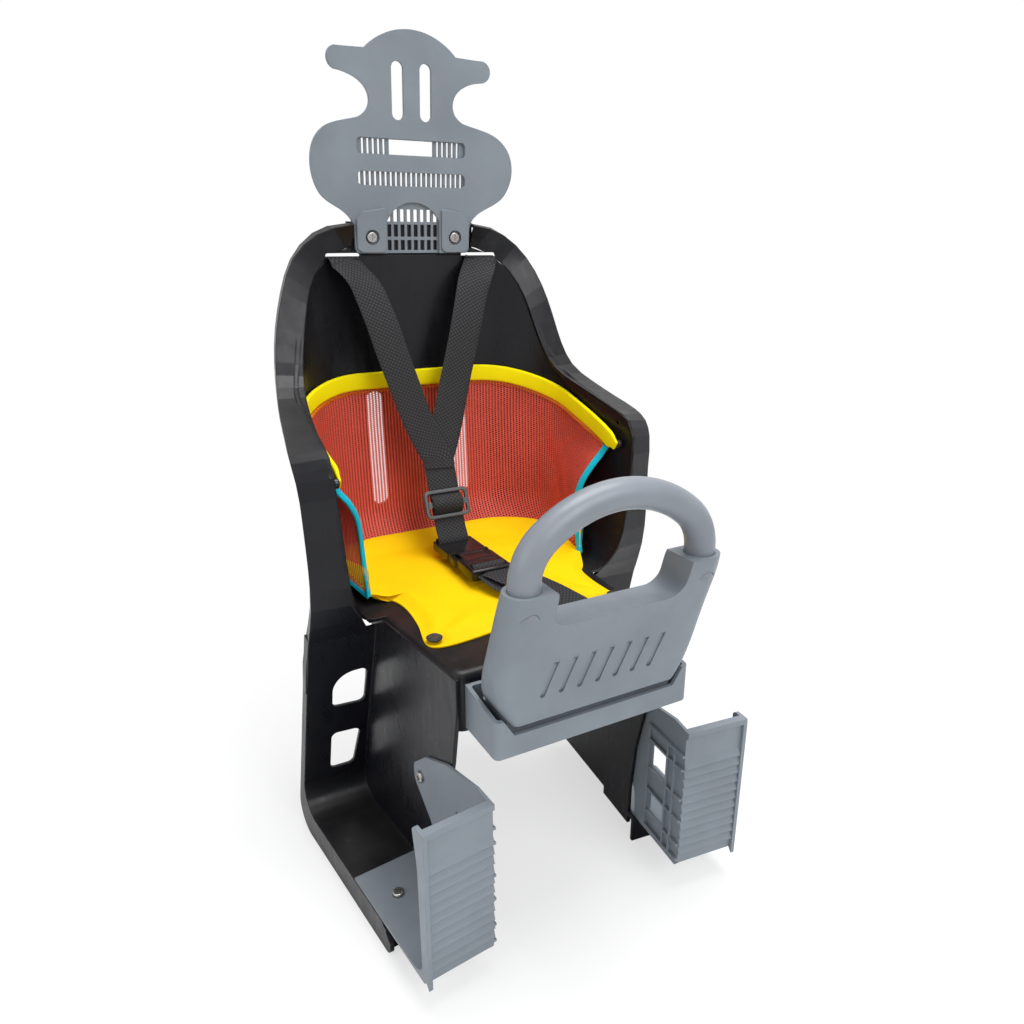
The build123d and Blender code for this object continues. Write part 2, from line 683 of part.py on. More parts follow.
# Fasteners
def pan_screw(place, length):
    """Screw whose head stands on a plane and whose shank runs back from it."""
    with BuildPart(mode=Mode.PRIVATE) as screw:
        with BuildSketch(place):
            Circle(HEAD_DIA / 2)
        extrude(amount=HEAD_HIGH)
        fillet(edges().filter_by(GeomType.CIRCLE).sort_by(lambda edge: place.to_local_coords(edge.center()).Z)[-1], HEAD_ROUND)
        with BuildSketch(place.offset(HEAD_HIGH)):
            Rectangle(DRIVE_LONG, DRIVE_WIDE)
            Rectangle(DRIVE_WIDE, DRIVE_LONG)
        extrude(amount=-DRIVE_DEEP, mode=Mode.SUBTRACT)
        with BuildSketch(place):
            Circle(SCREW_DIA / 2)
        extrude(amount=-length)
    return screw.part


def hex_nut(place):
    """Nut that stands on a plane, round a screw's shank."""
    with BuildPart(mode=Mode.PRIVATE) as nut:
        with BuildSketch(place):
            RegularPolygon(NUT_FLATS / 2, 6, major_radius=False)
            Circle(SCREW_DIA / 2 + NUT_FIT, mode=Mode.SUBTRACT)
        extrude(amount=NUT_HIGH)
    return nut.part


# Headrest: a slotted plate over a thin plate with fine slots
GRILLE_BARS_HIGH = [x + 31.5 for x in range(0, 30, 6)]
with BuildPart() as headrest_grille:
    with BuildSketch(HEAD):
        with Locations((0, (GRILLE_TOP + PLATE_FOOT) / 2)):
            RectangleRounded(2 * GRILLE_HALF, GRILLE_TOP - PLATE_FOOT, 6.0)
        with Locations((0, SLOT_UPPER)):
            Rectangle(GRILLE_WINDOW, SLOT_UPPER_HIGH - 1, mode=Mode.SUBTRACT)
        with Locations(*[(side * x, SLOT_UPPER) for side in (-1, 1) for x in GRILLE_BARS_HIGH]):
            Rectangle(GRILLE_GAP, SLOT_UPPER_HIGH - 1, mode=Mode.SUBTRACT)
        with Locations((0, SLOT_LOWER)):
            with GridLocations(GRILLE_PITCH, 1, 21, 1):
                Rectangle(GRILLE_GAP, SLOT_LOWER_HIGH + 1, mode=Mode.SUBTRACT)
        for middle, high in GRILLE_ROWS:
            with Locations((0, middle)):
                with GridLocations(8.0, 1, 8, 1):
                    Rectangle(5.0, high, mode=Mode.SUBTRACT)
        with Locations((HEAD_SCREW_X, 0), (-HEAD_SCREW_X, 0)):
            Circle(SCREW_HOLE / 2, mode=Mode.SUBTRACT)
    extrude(amount=GRILLE_PLATE)
finish(headrest_grille, "headrest_grille")

FRONT_LOW = GRILLE_PLATE
FRONT_HIGH = GRILLE_PLATE + HEAD_PLATE
with BuildPart() as wing_form:
    across = Plane(
        origin=HEAD.from_local_coords((0, PLATE_FOOT - 5, 0)),
        x_dir=(1, 0, 0),
        z_dir=HEAD.y_dir * -1,
    )
    with BuildSketch(across):
        with BuildLine():
            Line((0, FRONT_LOW), (70.0, FRONT_LOW))
            Spline((70.0, FRONT_LOW), (96.0, FRONT_LOW + 3.5), (123.0, FRONT_LOW + 15.0), tangents=[(1, 0), (2, 1)])
            Line((123.0, FRONT_LOW + 15.0), (121.0, FRONT_HIGH + 14.0))
            Spline((121.0, FRONT_HIGH + 14.0), (95.0, FRONT_HIGH + 3.5), (70.0, FRONT_HIGH), tangents=[(-2, -1), (-1, 0)])
            Line((70.0, FRONT_HIGH), (0, FRONT_HIGH))
            Line((0, FRONT_HIGH), (0, FRONT_LOW))
        make_face()
        mirror(about=Plane.YZ)
    extrude(amount=-250.0)

with BuildPart() as headrest_plate:
    with BuildSketch(HEAD):
        with BuildLine():
            RadiusArc(PLATE_DOME[0], PLATE_DOME[1], PLATE_DOME_RADIUS)
            Line(PLATE_DOME[1], PLATE_HORN[0])
            ThreePointArc(*PLATE_HORN)
            Spline(*PLATE_WAIST, tangents=[(-1, -0.1), (1, -0.55)], tangent_scalars=[1, 0.6])
            Spline(*PLATE_WING, tangents=[(1, -0.3), (-0.3, -1)])
            Line(PLATE_WING[-1], PLATE_NECK[0])
            ThreePointArc(*PLATE_NECK)
            Line(PLATE_NECK[-1], (0, PLATE_FOOT))
            Line((0, PLATE_FOOT), PLATE_DOME[0])
        make_face()
        mirror(about=Plane.YZ)
        with Locations((16.0, 147.0), (-16.0, 147.0)):
            SlotOverall(56.0, 13.5, rotation=90, mode=Mode.SUBTRACT)
        with Locations((0, SLOT_UPPER)):
            RectangleRounded(SLOT_ACROSS, SLOT_UPPER_HIGH, 5.0, mode=Mode.SUBTRACT)
        with Locations((0, SLOT_LOWER)):
            RectangleRounded(SLOT_ACROSS, SLOT_LOWER_HIGH, 5.0, mode=Mode.SUBTRACT)
        with BuildLine():
            Polyline((-ARCH_HALF, ARCH_SIDE), (-ARCH_HALF, PLATE_FOOT - 2), (ARCH_HALF, PLATE_FOOT - 2), (ARCH_HALF, ARCH_SIDE))
            ThreePointArc((ARCH_HALF, ARCH_SIDE), (0, ARCH_TOP), (-ARCH_HALF, ARCH_SIDE))
        make_face(mode=Mode.SUBTRACT)
    extrude(amount=40.0)
    add(wing_form.part, mode=Mode.INTERSECT)
    with BuildSketch(HEAD.offset(FRONT_HIGH)):
        with BuildLine():
            Polyline(*SCREW_PAD, close=True)
        make_face()
        fillet(vertices(), 3.0)
        mirror(about=Plane.YZ)
    extrude(amount=PAD_RISE, taper=12)
    with BuildSketch(HEAD.offset(FRONT_HIGH + PAD_RISE)):
        with Locations((HEAD_SCREW_X, 0), (-HEAD_SCREW_X, 0)):
            Circle(HEAD_DIA / 2 + 2)
    extrude(amount=-SINK, mode=Mode.SUBTRACT)
    with BuildSketch(HEAD.offset(FRONT_HIGH + PAD_RISE)):
        with Locations((HEAD_SCREW_X, 0), (-HEAD_SCREW_X, 0)):
            Circle(SCREW_HOLE / 2)
    extrude(amount=-20.0, mode=Mode.SUBTRACT)
finish(headrest_plate, "headrest_plate")

head_spots = [HEAD.from_local_coords((side * HEAD_SCREW_X, 0, FRONT_HIGH + PAD_RISE - SINK)) for side in (-1, 1)]
with BuildPart() as headrest_screws:
    for spot in head_spots:
        add(pan_screw(Plane(origin=spot, x_dir=(1, 0, 0), z_dir=HEAD.z_dir), FRONT_HIGH + PAD_RISE - SINK + WALL + NUT_HIGH + 1.5))
finish(headrest_screws, "headrest_screws")

with BuildPart() as headrest_nuts:
    for side in (-1, 1):
        spot = HEAD.from_local_coords((side * HEAD_SCREW_X, 0, -WALL))
        add(hex_nut(Plane(origin=spot, x_dir=(1, 0, 0), z_dir=HEAD.z_dir * -1)))
finish(headrest_nuts, "headrest_nuts")


# Tray on the front of the pan, which carries the handle
TRAY_BACK = PAN_FRONT
with BuildPart() as handle_tray:
    with BuildSketch(Plane.YZ):
        with BuildLine():
            Polyline(
                (TRAY_FRONT, TRAY_BOTTOM),
                (TRAY_BACK, TRAY_BOTTOM),
                (TRAY_BACK, TRAY_REAR_TOP),
                (TRAY_FRONT, TRAY_TOP),
                close=True,
            )
        make_face()
    extrude(amount=TRAY_HALF, both=True)
    fillet(edges().filter_by(Axis.Z).group_by(Axis.Y)[0], 6.0)
    fillet(faces().sort_by(Axis.Z)[0].edges(), 2.0)
    with BuildSketch(Plane.XY.offset(TRAY_BOTTOM + TRAY_WALL)):
        with Locations((0, (TRAY_FRONT + TRAY_BACK) / 2)):
            RectangleRounded(2 * (TRAY_HALF - TRAY_WALL), TRAY_BACK - TRAY_FRONT - 2 * TRAY_WALL, 3.0)
    extrude(amount=60.0, mode=Mode.SUBTRACT)
    with BuildSketch(Plane.XZ.offset(-TRAY_FRONT - 6.0)):
        with BuildLine():
            Polyline(
                (-NOTCH_LOW, NOTCH_Z),
                (NOTCH_LOW, NOTCH_Z),
                (NOTCH_HIGH, TRAY_TOP + 2),
                (NOTCH_HIGH, 300.0),
                (-NOTCH_HIGH, 300.0),
                (-NOTCH_HIGH, TRAY_TOP + 2),
                close=True,
            )
        make_face()
    extrude(amount=12.0, mode=Mode.SUBTRACT)
    with BuildSketch(Plane.XZ.offset(-TRAY_BACK + 5)):
        with Locations((TRAY_SCREW_X, TRAY_SCREW_Z), (-TRAY_SCREW_X, TRAY_SCREW_Z)):
            Circle(SCREW_HOLE / 2)
    extrude(amount=-10.0, mode=Mode.SUBTRACT)
    with BuildSketch(Plane.XY.offset(TRAY_BOTTOM - 1)):
        with Locations((HANDLE_SCREW_X, FOOT_Y), (-HANDLE_SCREW_X, FOOT_Y)):
            Circle(SCREW_HOLE / 2)
    extrude(amount=10.0, mode=Mode.SUBTRACT)
finish(handle_tray, "handle_tray")

with BuildPart() as tray_screws:
    for side in (-1, 1):
        spot = (side * TRAY_SCREW_X, TRAY_BACK - TRAY_WALL, TRAY_SCREW_Z)
        add(pan_screw(Plane(origin=spot, x_dir=(1, 0, 0), z_dir=(0, -1, 0)), TRAY_WALL + WALL + NUT_HIGH + 1.5))
finish(tray_screws, "tray_screws")

with BuildPart() as tray_nuts:
    for side in (-1, 1):
        spot = (side * TRAY_SCREW_X, TRAY_BACK + WALL, TRAY_SCREW_Z)
        add(hex_nut(Plane(origin=spot, x_dir=(1, 0, 0), z_dir=(0, 1, 0))))
finish(tray_nuts, "tray_nuts")

# Handle body: a foot inside the tray, then level sections up to the sleeves
with BuildPart() as handle_body:
    for z, half, front, back, corner in HANDLE_SECTIONS:
        with BuildSketch(Plane.XY.offset(z)):
            with Locations((0, (front + back) / 2)):
                RectangleRounded(2 * half, back - front, corner)
    loft()
    with BuildSketch(Plane.XZ.offset(300.0)):
        with BuildLine():
            FilletPolyline(
                (-TUBE_X + SLEEVE_DIA / 2, 420.0),
                (-OPENING_HALF, OPENING_FOOT + 30.0),
                (-OPENING_HALF, OPENING_FOOT),
                (OPENING_HALF, OPENING_FOOT),
                (OPENING_HALF, OPENING_FOOT + 30.0),
                (TUBE_X - SLEEVE_DIA / 2, 420.0),
                radius=[12.0, OPENING_CORNER, OPENING_CORNER, 12.0],
            )
            Line((TUBE_X - SLEEVE_DIA / 2, 420.0), (-TUBE_X + SLEEVE_DIA / 2, 420.0))
        make_face()
    extrude(amount=-200.0, mode=Mode.SUBTRACT)
    with BuildSketch(Plane.XY.offset(TRAY_BOTTOM + TRAY_WALL)):
        with Locations((0, FOOT_Y)):
            RectangleRounded(2 * FOOT_HALF, FOOT_DEPTH, 3.0)
    extrude(amount=HANDLE_SECTIONS[0][0] - TRAY_BOTTOM - TRAY_WALL + 4)
    with BuildSketch(Plane.XY.offset(SLEEVE_TOP)):
        with Locations((TUBE_X, TUBE_Y), (-TUBE_X, TUBE_Y)):
            Circle(TUBE_DIA / 2 + CLEAR)
    extrude(amount=-SOCKET_DEEP, mode=Mode.SUBTRACT)
    groove_face = Plane(
        origin=(0, GROOVE_Y, GROOVE_Z),
        x_dir=(1, 0, 0),
        z_dir=(0, -cos(radians(GROOVE_LEAN)), -sin(radians(GROOVE_LEAN))),
    )
    with BuildSketch(groove_face):
        with GridLocations(GROOVE_PITCH, 1, 7, 1):
            SlotOverall(GROOVE_LONG, GROOVE_WIDE, rotation=90 - GROOVE_SLANT)
    extrude(amount=-GROOVE_DEEP, mode=Mode.SUBTRACT)
    with BuildSketch(Plane.XY.offset(TRAY_BOTTOM + TRAY_WALL)):
        with Locations((HANDLE_SCREW_X, FOOT_Y), (-HANDLE_SCREW_X, FOOT_Y)):
            Circle(SCREW_DIA / 2 + NUT_FIT)
    extrude(amount=HANDLE_SCREW_LONG, mode=Mode.SUBTRACT)
finish(handle_body, "handle_body")

with BuildPart() as handle_screws:
    for side in (-1, 1):
        spot = (side * HANDLE_SCREW_X, FOOT_Y, TRAY_BOTTOM)
        add(pan_screw(Plane(origin=spot, x_dir=(1, 0, 0), z_dir=(0, 0, -1)), HANDLE_SCREW_LONG))
finish(handle_screws, "handle_screws")

# Handle tube: two legs joined by three tangent arcs
TOP_RADIUS = ((TUBE_X - ARCH_CORNER)**2 + ARCH_RISE**2 - ARCH_CORNER**2) / (2 * (ARCH_RISE - ARCH_CORNER))
with BuildPart() as handle_arch:
    corner_x = TUBE_X - ARCH_CORNER
    top_z = ARCH_RISE - TOP_RADIUS
    reach = TOP_RADIUS / (TOP_RADIUS - ARCH_CORNER)
    meet = (corner_x * reach, top_z - top_z * reach)
    half_turn = sqrt(corner_x**2 + top_z**2)
    bulge = ((corner_x + meet[0]) / 2, meet[1] / 2)
    with BuildLine(Plane.XZ.offset(-TUBE_Y)) as arch_path:
        Line((-TUBE_X, SLEEVE_TOP - SOCKET_DEEP), (-TUBE_X, ARCH_SPRING))
        RadiusArc((-TUBE_X, ARCH_SPRING), (-meet[0], ARCH_SPRING + meet[1]), ARCH_CORNER)
        RadiusArc((-meet[0], ARCH_SPRING + meet[1]), (meet[0], ARCH_SPRING + meet[1]), TOP_RADIUS)
        RadiusArc((meet[0], ARCH_SPRING + meet[1]), (TUBE_X, ARCH_SPRING), ARCH_CORNER)
        Line((TUBE_X, ARCH_SPRING), (TUBE_X, SLEEVE_TOP - SOCKET_DEEP))
    with BuildSketch(Plane.XY.offset(SLEEVE_TOP - SOCKET_DEEP)):
        with Locations((-TUBE_X, TUBE_Y)):
            Circle(TUBE_DIA / 2)
    sweep(path=arch_path.wires()[0])
finish(handle_arch, "handle_arch")


# Foot guards, on the planes of the right foot channel
with BuildPart() as guard_right:
    with BuildSketch(leg_wall(0.0)):
        with BuildLine():
            steps = []
            for index in range(RIB_COUNT):
                top = RIB_TOP - index * RIB_PITCH
                steps += [(0.0, top), (-RIB_RISE, top - RIB_PITCH + 2.0), (0.0, top - RIB_PITCH + 1.0)]
            Polyline(
                (FLOOR_PLATE_LONG, FLOOR_TOP + GUARD_WALL),
                (FLOOR_PLATE_LONG, FLOOR_TOP),
                (5.0, FLOOR_TOP),
                (0.0, FLOOR_TOP + 5.0),
                *reversed(steps),
                (0.0, GUARD_TOP - 8.0),
                (-3.0, GUARD_TOP - 6.0),
                (-3.0, GUARD_TOP),
                (GUARD_WALL + 2.0, GUARD_TOP),
                (GUARD_WALL, GUARD_TOP - 6.0),
                (GUARD_WALL, FLOOR_TOP + GUARD_WALL + GUARD_BEND),
            )
            RadiusArc(
                (GUARD_WALL, FLOOR_TOP + GUARD_WALL + GUARD_BEND),
                (GUARD_WALL + GUARD_BEND, FLOOR_TOP + GUARD_WALL),
                -GUARD_BEND,
            )
            Line((GUARD_WALL + GUARD_BEND, FLOOR_TOP + GUARD_WALL), (FLOOR_PLATE_LONG, FLOOR_TOP + GUARD_WALL))
        make_face()
    extrude(amount=GUARD_ACROSS)
    # outer flange with its pointed foot
    with BuildSketch(leg_wall(GUARD_ACROSS - 4.0)):
        with BuildLine():
            Polyline(*GUARD_FLANGE, close=True)
        make_face()
        fillet(vertices().sort_by(Axis.Y)[-2:], 5.0)
    extrude(amount=4.0)
    # inner wall with its screw lobe and windows
    with BuildSketch(leg_wall(0.0)):
        with BuildLine():
            Polyline(*GUARD_WALL_LINE, close=True)
        make_face()
        fillet(vertices().filter_by(lambda corner: corner.X > 60.0 and corner.Y > 90.0), 10.0)
        with Locations((LOBE_D, LOBE_Z)):
            Circle(LOBE_RADIUS)
        for low, high in GUARD_WINDOWS:
            with Locations(((low[0] + high[0]) / 2, (low[1] + high[1]) / 2)):
                RectangleRounded(high[0] - low[0], high[1] - low[1], 2.0, mode=Mode.SUBTRACT)
    extrude(amount=GUARD_WALL)
    # stiffening grid on its far side, in front of the channel's own wall
    with BuildSketch(leg_wall(0.0)):
        for d in GRID_D:
            with Locations((d, (GRID_LOW + GRID_HIGH) / 2)):
                Rectangle(2.6, GRID_HIGH - GRID_LOW)
        for z in GRID_Z:
            with Locations((GRID_D[-1] / 2, z)):
                Rectangle(GRID_D[-1], 2.6)
    extrude(amount=-GRID_RISE)
    with BuildSketch(leg_wall(20.0)):
        with Locations((LOBE_D, LOBE_Z)):
            Circle(SCREW_HOLE / 2)
    extrude(amount=-40.0, mode=Mode.SUBTRACT)
    with BuildSketch(LEG.offset(FLOOR_TOP + 20.0)):
        with Locations((SOLE_SCREW_E, SOLE_SCREW_D)):
            Circle(SCREW_HOLE / 2)
    extrude(amount=-40.0, mode=Mode.SUBTRACT)
finish(guard_right, "foot_guard_right")

with BuildPart() as guard_left:
    add(guard_right.part.mirror(Plane.YZ))
finish(guard_left, "foot_guard_left")

lobe_place = Plane(origin=LEG.from_local_coords((GUARD_WALL, LOBE_D, LOBE_Z)), x_dir=D_DIR, z_dir=E_DIR)
lobe_back = Plane(origin=LEG.from_local_coords((-WALL, LOBE_D, LOBE_Z)), x_dir=D_DIR, z_dir=E_DIR * -1)
sole_place = Plane(
    origin=LEG.from_local_coords((SOLE_SCREW_E, SOLE_SCREW_D, FLOOR_TOP + GUARD_WALL)), x_dir=E_DIR, z_dir=(0, 0, 1)
)
sole_back = Plane(
    origin=LEG.from_local_coords((SOLE_SCREW_E, SOLE_SCREW_D, FLOOR_TOP - FLOOR_THICK)), x_dir=E_DIR, z_dir=(0, 0, -1)
)
GUARD_SCREW_LONG = GUARD_WALL + WALL + NUT_HIGH + 1.5
with BuildPart() as guard_wall_screws:
    wall_screw = pan_screw(lobe_place, GUARD_SCREW_LONG)
    add(wall_screw)
    add(wall_screw.mirror(Plane.YZ))
finish(guard_wall_screws, "guard_wall_screws")

with BuildPart() as guard_floor_screws:
    floor_screw = pan_screw(sole_place, GUARD_SCREW_LONG)
    add(floor_screw)
    add(floor_screw.mirror(Plane.YZ))
finish(guard_floor_screws, "guard_floor_screws")

with BuildPart() as guard_nuts:
    for place in (lobe_back, sole_back):
        nut = hex_nut(place)
        add(nut)
        add(nut.mirror(Plane.YZ))
finish(guard_nuts, "guard_nuts")


# Harness
def webbing(stations, thick=WEB_THICK):
    """Flat strap through (centre, across) stations."""
    with BuildPart(mode=Mode.PRIVATE) as strap:
        for index, (centre, across) in enumerate(stations):
            before = Vector(*stations[max(index - 1, 0)][0])
            after = Vector(*stations[min(index + 1, len(stations) - 1)][0])
            run = (after - before).normalized()
            side = Vector(*across)
            side = (side - run * side.dot(run)).normalized()
            with BuildSketch(Plane(origin=centre, x_dir=side, z_dir=run)):
                Rectangle(WEB_WIDTH, thick)
        loft(ruled=True)
    return strap.part


for name, side, layer in (("shoulder_strap_left", -1, -WEB_LAYER), ("shoulder_strap_right", 1, WEB_LAYER)):
    with BuildPart() as shoulder_strap:
        stations = []
        for (x, y, z), (across_x, across_y, across_z), shift in SHOULDER_LINE:
            stations.append(((side * x, y + layer * shift, z), (across_x, side * across_y, side * across_z)))
        add(webbing(stations))
    finish(shoulder_strap, name)

with BuildPart() as strap_keepers:
    for side in (-1, 1):
        with Locations((side * SLOT_X, KEEPER_Y + KEEPER_THICK / 2, SLOT_Z)):
            Box(KEEPER_LONG, KEEPER_THICK, KEEPER_HIGH)
    fillet(edges().filter_by(Axis.Y), 3.0)
finish(strap_keepers, "strap_keepers")

with BuildPart() as centre_strap:
    add(webbing([(point, (1, 0, 0)) for point in CENTRE_LINE]))
finish(centre_strap, "centre_strap")

# Adjuster: a frame lying on the centre strap, with a bar across its back
slide_run = (Vector(*CENTRE_LINE[2]) - Vector(*CENTRE_LINE[1])).normalized()
SLIDE = Plane(
    origin=(Vector(*CENTRE_LINE[1]) + Vector(*CENTRE_LINE[2])) * 0.5,
    x_dir=(1, 0, 0),
    z_dir=Vector(1, 0, 0).cross(slide_run * -1),
)
with BuildPart() as strap_adjuster:
    with BuildSketch(SLIDE.offset(WEB_THICK / 2 + CLEAR)):
        RectangleRounded(SLIDE_WIDE, SLIDE_HIGH, 7.0)
        RectangleRounded(SLIDE_WIDE - 9.0, SLIDE_HIGH - 9.0, 3.0, mode=Mode.SUBTRACT)
    extrude(amount=SLIDE_THICK)
    fillet(edges().group_by(SLIDE.z_dir and Axis(SLIDE.origin, SLIDE.z_dir))[-1], 1.2)
    with BuildSketch(SLIDE.offset(WEB_THICK / 2 + CLEAR)):
        Rectangle(SLIDE_WIDE - 8.0, 7.0)
    extrude(amount=SLIDE_THICK + 0.6)
finish(strap_adjuster, "strap_adjuster")

# Side-release buckle lying over the seat pad
with BuildPart() as buckle_tongue:
    with BuildSketch(BUCKLE):
        with Locations((0, TONGUE_BACK - TONGUE_LONG / 2)):
            RectangleRounded(BUCKLE_WIDE, TONGUE_LONG, 4.0)
        with Locations((0, TONGUE_BACK - 9.0)):
            Rectangle(WEB_WIDTH + 1.0, 6.0, mode=Mode.SUBTRACT)
    extrude(amount=TONGUE_THICK / 2, both=True)
    with BuildSketch(BUCKLE):
        for x in (-15.0, 0.0, 15.0):
            with Locations((x, TONGUE_BACK - TONGUE_LONG - PRONG_LONG / 2 + 1)):
                Rectangle(8.0, PRONG_LONG + 2)
    extrude(amount=PRONG_THICK / 2, both=True)
finish(buckle_tongue, "buckle_tongue")

with BuildPart() as buckle_socket:
    with BuildSketch(BUCKLE):
        with Locations((0, SOCKET_BACK - SOCKET_LONG / 2)):
            RectangleRounded(BUCKLE_WIDE, SOCKET_LONG, 3.0)
        with Locations((0, SOCKET_BACK - SOCKET_LONG + 7.0), (0, SOCKET_BACK - SOCKET_LONG + 16.0)):
            Rectangle(WEB_WIDTH + 1.0, 5.0, mode=Mode.SUBTRACT)
    extrude(amount=BUCKLE_THICK / 2, both=True)
    with BuildSketch(BUCKLE):
        with Locations((0, SOCKET_BACK - (PRONG_LONG + 2) / 2)):
            Rectangle(BUCKLE_WIDE - 6.0, PRONG_LONG + 2)
    extrude(amount=PRONG_THICK / 2 + CLEAR, both=True, mode=Mode.SUBTRACT)
    with BuildSketch(BUCKLE):
        with Locations(*[(side * BUCKLE_WIDE / 2, SOCKET_BACK - 14.0) for side in (-1, 1)]):
            RectangleRounded(14.0, 16.0, 3.0)
    extrude(amount=BUCKLE_THICK, both=True, mode=Mode.SUBTRACT)
finish(buckle_socket, "buckle_socket")

with BuildPart() as crotch_strap:
    add(webbing([(point, (1, 0, 0)) for point in CROTCH_LINE]))
finish(crotch_strap, "crotch_strap")

with BuildPart() as crotch_strap_bar:
    with Locations((CROTCH_SLOT[0], CROTCH_SLOT[1], PAN_TOP - WALL - CLEAR - KEEPER_THICK / 2)):
        Box(KEEPER_LONG, KEEPER_HIGH, KEEPER_THICK)
    fillet(edges().filter_by(Axis.Z), 3.0)
finish(crotch_strap_bar, "crotch_strap_bar")


# Seat pad: mesh, binding and piping are layers that follow the bucket
def lining(near, far, outline):
    """Layer inside the bucket between two distances from it, cut to a side outline."""
    with BuildPart(mode=Mode.PRIVATE) as layer:
        add(bucket_solid(-near))
        add(bucket_solid(-far), mode=Mode.SUBTRACT)
        add(side_prism(outline), mode=Mode.INTERSECT)
    return layer.part


binding_low = [(y, z - BINDING_HIGH) for y, z in PAD_TOP_LINE]
with BuildPart() as pad_binding:
    add(lining(PAD_NEAR, PAD_NEAR + BINDING_THICK, PAD_TOP_LINE + list(reversed(binding_low))))
    with BuildSketch(Plane.YZ):
        with Locations(BUTTON_SPOT):
            Circle(BUTTON_STEM / 2 + CLEAR)
    extrude(amount=300.0, both=True, mode=Mode.SUBTRACT)
finish(pad_binding, "pad_binding")

mesh_line = [(y, z - CLEAR) for y, z in binding_low] + [(PAD_TOP_LINE[-1][0], PAD_LOW)]
mesh_line += [(y + PIPING_WIDE + CLEAR, z) for y, z in reversed(PAD_SIDE_LINE)]
with BuildPart() as pad_mesh:
    add(lining(PAD_NEAR, PAD_NEAR + MESH_THICK, mesh_line))
finish(pad_mesh, "pad_mesh")

piping_line = PAD_SIDE_LINE + [(y + PIPING_WIDE, z) for y, z in reversed(PAD_SIDE_LINE)]
with BuildPart() as piping_pair:
    add(lining(PAD_NEAR, PAD_NEAR + PIPING_THICK, piping_line))
for name, direction in (("pad_piping_left", -1), ("pad_piping_right", 1)):
    with BuildPart() as pad_piping:
        add(piping_pair.solids().sort_by(Axis.X)[0 if direction < 0 else -1])
    finish(pad_piping, name)

with BuildPart() as pad_seat:
    with BuildSketch(Plane.XY.offset(PAN_TOP + CLEAR)):
        with BuildLine():
            Line((0, PAD_SEAT_BACK), (PAD_SEAT_HALF - 60.0, PAD_SEAT_BACK))
            RadiusArc((PAD_SEAT_HALF - 60.0, PAD_SEAT_BACK), (PAD_SEAT_HALF, PAD_SEAT_BACK - 60.0), 60.0)
            Line((PAD_SEAT_HALF, PAD_SEAT_BACK - 60.0), (PAD_SEAT_HALF - 2, -30.0))
            Spline(*PAD_FRONT_LINE)
            Line(PAD_FRONT_LINE[-1], (0, PAD_SEAT_BACK))
        make_face()
        mirror(about=Plane.YZ)
        with Locations((PAD_SCREW_X, PAD_SCREW_Y), (-PAD_SCREW_X, PAD_SCREW_Y)):
            Circle(PAD_SCREW_DIA / 2 + CLEAR, mode=Mode.SUBTRACT)
    extrude(amount=PAD_SEAT_THICK)
finish(pad_seat, "pad_seat")

with BuildPart() as pad_screws:
    for side in (-1, 1):
        with BuildSketch(Plane.XY.offset(PAN_TOP + CLEAR + PAD_SEAT_THICK)):
            with Locations((side * PAD_SCREW_X, PAD_SCREW_Y)):
                Circle(PAD_SCREW_HEAD / 2)
        extrude(amount=2.4)
        with BuildSketch(Plane.XY.offset(PAN_TOP + CLEAR + PAD_SEAT_THICK)):
            with Locations((side * PAD_SCREW_X, PAD_SCREW_Y)):
                Circle(PAD_SCREW_DIA / 2)
        extrude(amount=-PAD_SCREW_LONG)
finish(pad_screws, "pad_screws")

with BuildPart() as pad_buttons:
    for side in (-1, 1):
        with BuildSketch(Plane.YZ.offset(side * BUTTON_X)):
            with Locations(BUTTON_SPOT):
                Circle(BUTTON_DIA / 2)
        extrude(amount=-side * 3.0)
        with BuildSketch(Plane.YZ.offset(side * BUTTON_X)):
            with Locations(BUTTON_SPOT):
                Circle(BUTTON_STEM / 2)
        extrude(amount=side * BUTTON_REACH)
        with BuildSketch(Plane.YZ.offset(side * (BUTTON_X + BUTTON_REACH))):
            with Locations(BUTTON_SPOT):
                Circle(BUTTON_DIA / 2)
        extrude(amount=side * 2.0)
finish(pad_buttons, "pad_buttons")
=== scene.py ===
"""Looks of the rear child seat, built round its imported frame. All sizes are in metres."""
import logging
import math
from dataclasses import dataclass, field
from enum import Enum
from typing import Callable, Sequence

import bmesh
import bpy
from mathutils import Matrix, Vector, noise

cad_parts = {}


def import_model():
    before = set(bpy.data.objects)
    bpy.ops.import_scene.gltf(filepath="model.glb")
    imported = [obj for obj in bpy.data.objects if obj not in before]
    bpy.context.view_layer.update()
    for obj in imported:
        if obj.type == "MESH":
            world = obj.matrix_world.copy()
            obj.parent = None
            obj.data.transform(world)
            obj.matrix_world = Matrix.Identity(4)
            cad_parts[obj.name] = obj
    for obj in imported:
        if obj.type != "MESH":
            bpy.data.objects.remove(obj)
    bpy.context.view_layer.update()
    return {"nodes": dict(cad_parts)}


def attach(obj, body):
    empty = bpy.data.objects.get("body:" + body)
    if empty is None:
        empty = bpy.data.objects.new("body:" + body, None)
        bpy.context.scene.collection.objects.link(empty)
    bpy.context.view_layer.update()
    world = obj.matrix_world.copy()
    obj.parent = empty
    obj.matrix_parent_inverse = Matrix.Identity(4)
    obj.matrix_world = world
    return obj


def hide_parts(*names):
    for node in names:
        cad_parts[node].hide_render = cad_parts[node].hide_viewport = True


LOG = logging.getLogger("child_seat")
MIDDLE_Y = 0.00917
Point = tuple[float, float, float]
Colour = tuple[float, float, float]
Outline = tuple[tuple[float, float], ...]
Piece = bpy.types.Object
Socket = bpy.types.NodeSocket
ACROSS: Point = (1, 0, 0)


class Side(Enum):
    """Side of the seat, as seen from the front."""

    LEFT = -1
    RIGHT = 1

    @property
    def word(self) -> str:
        """Word for the side in the names of pieces."""
        return self.name.lower()


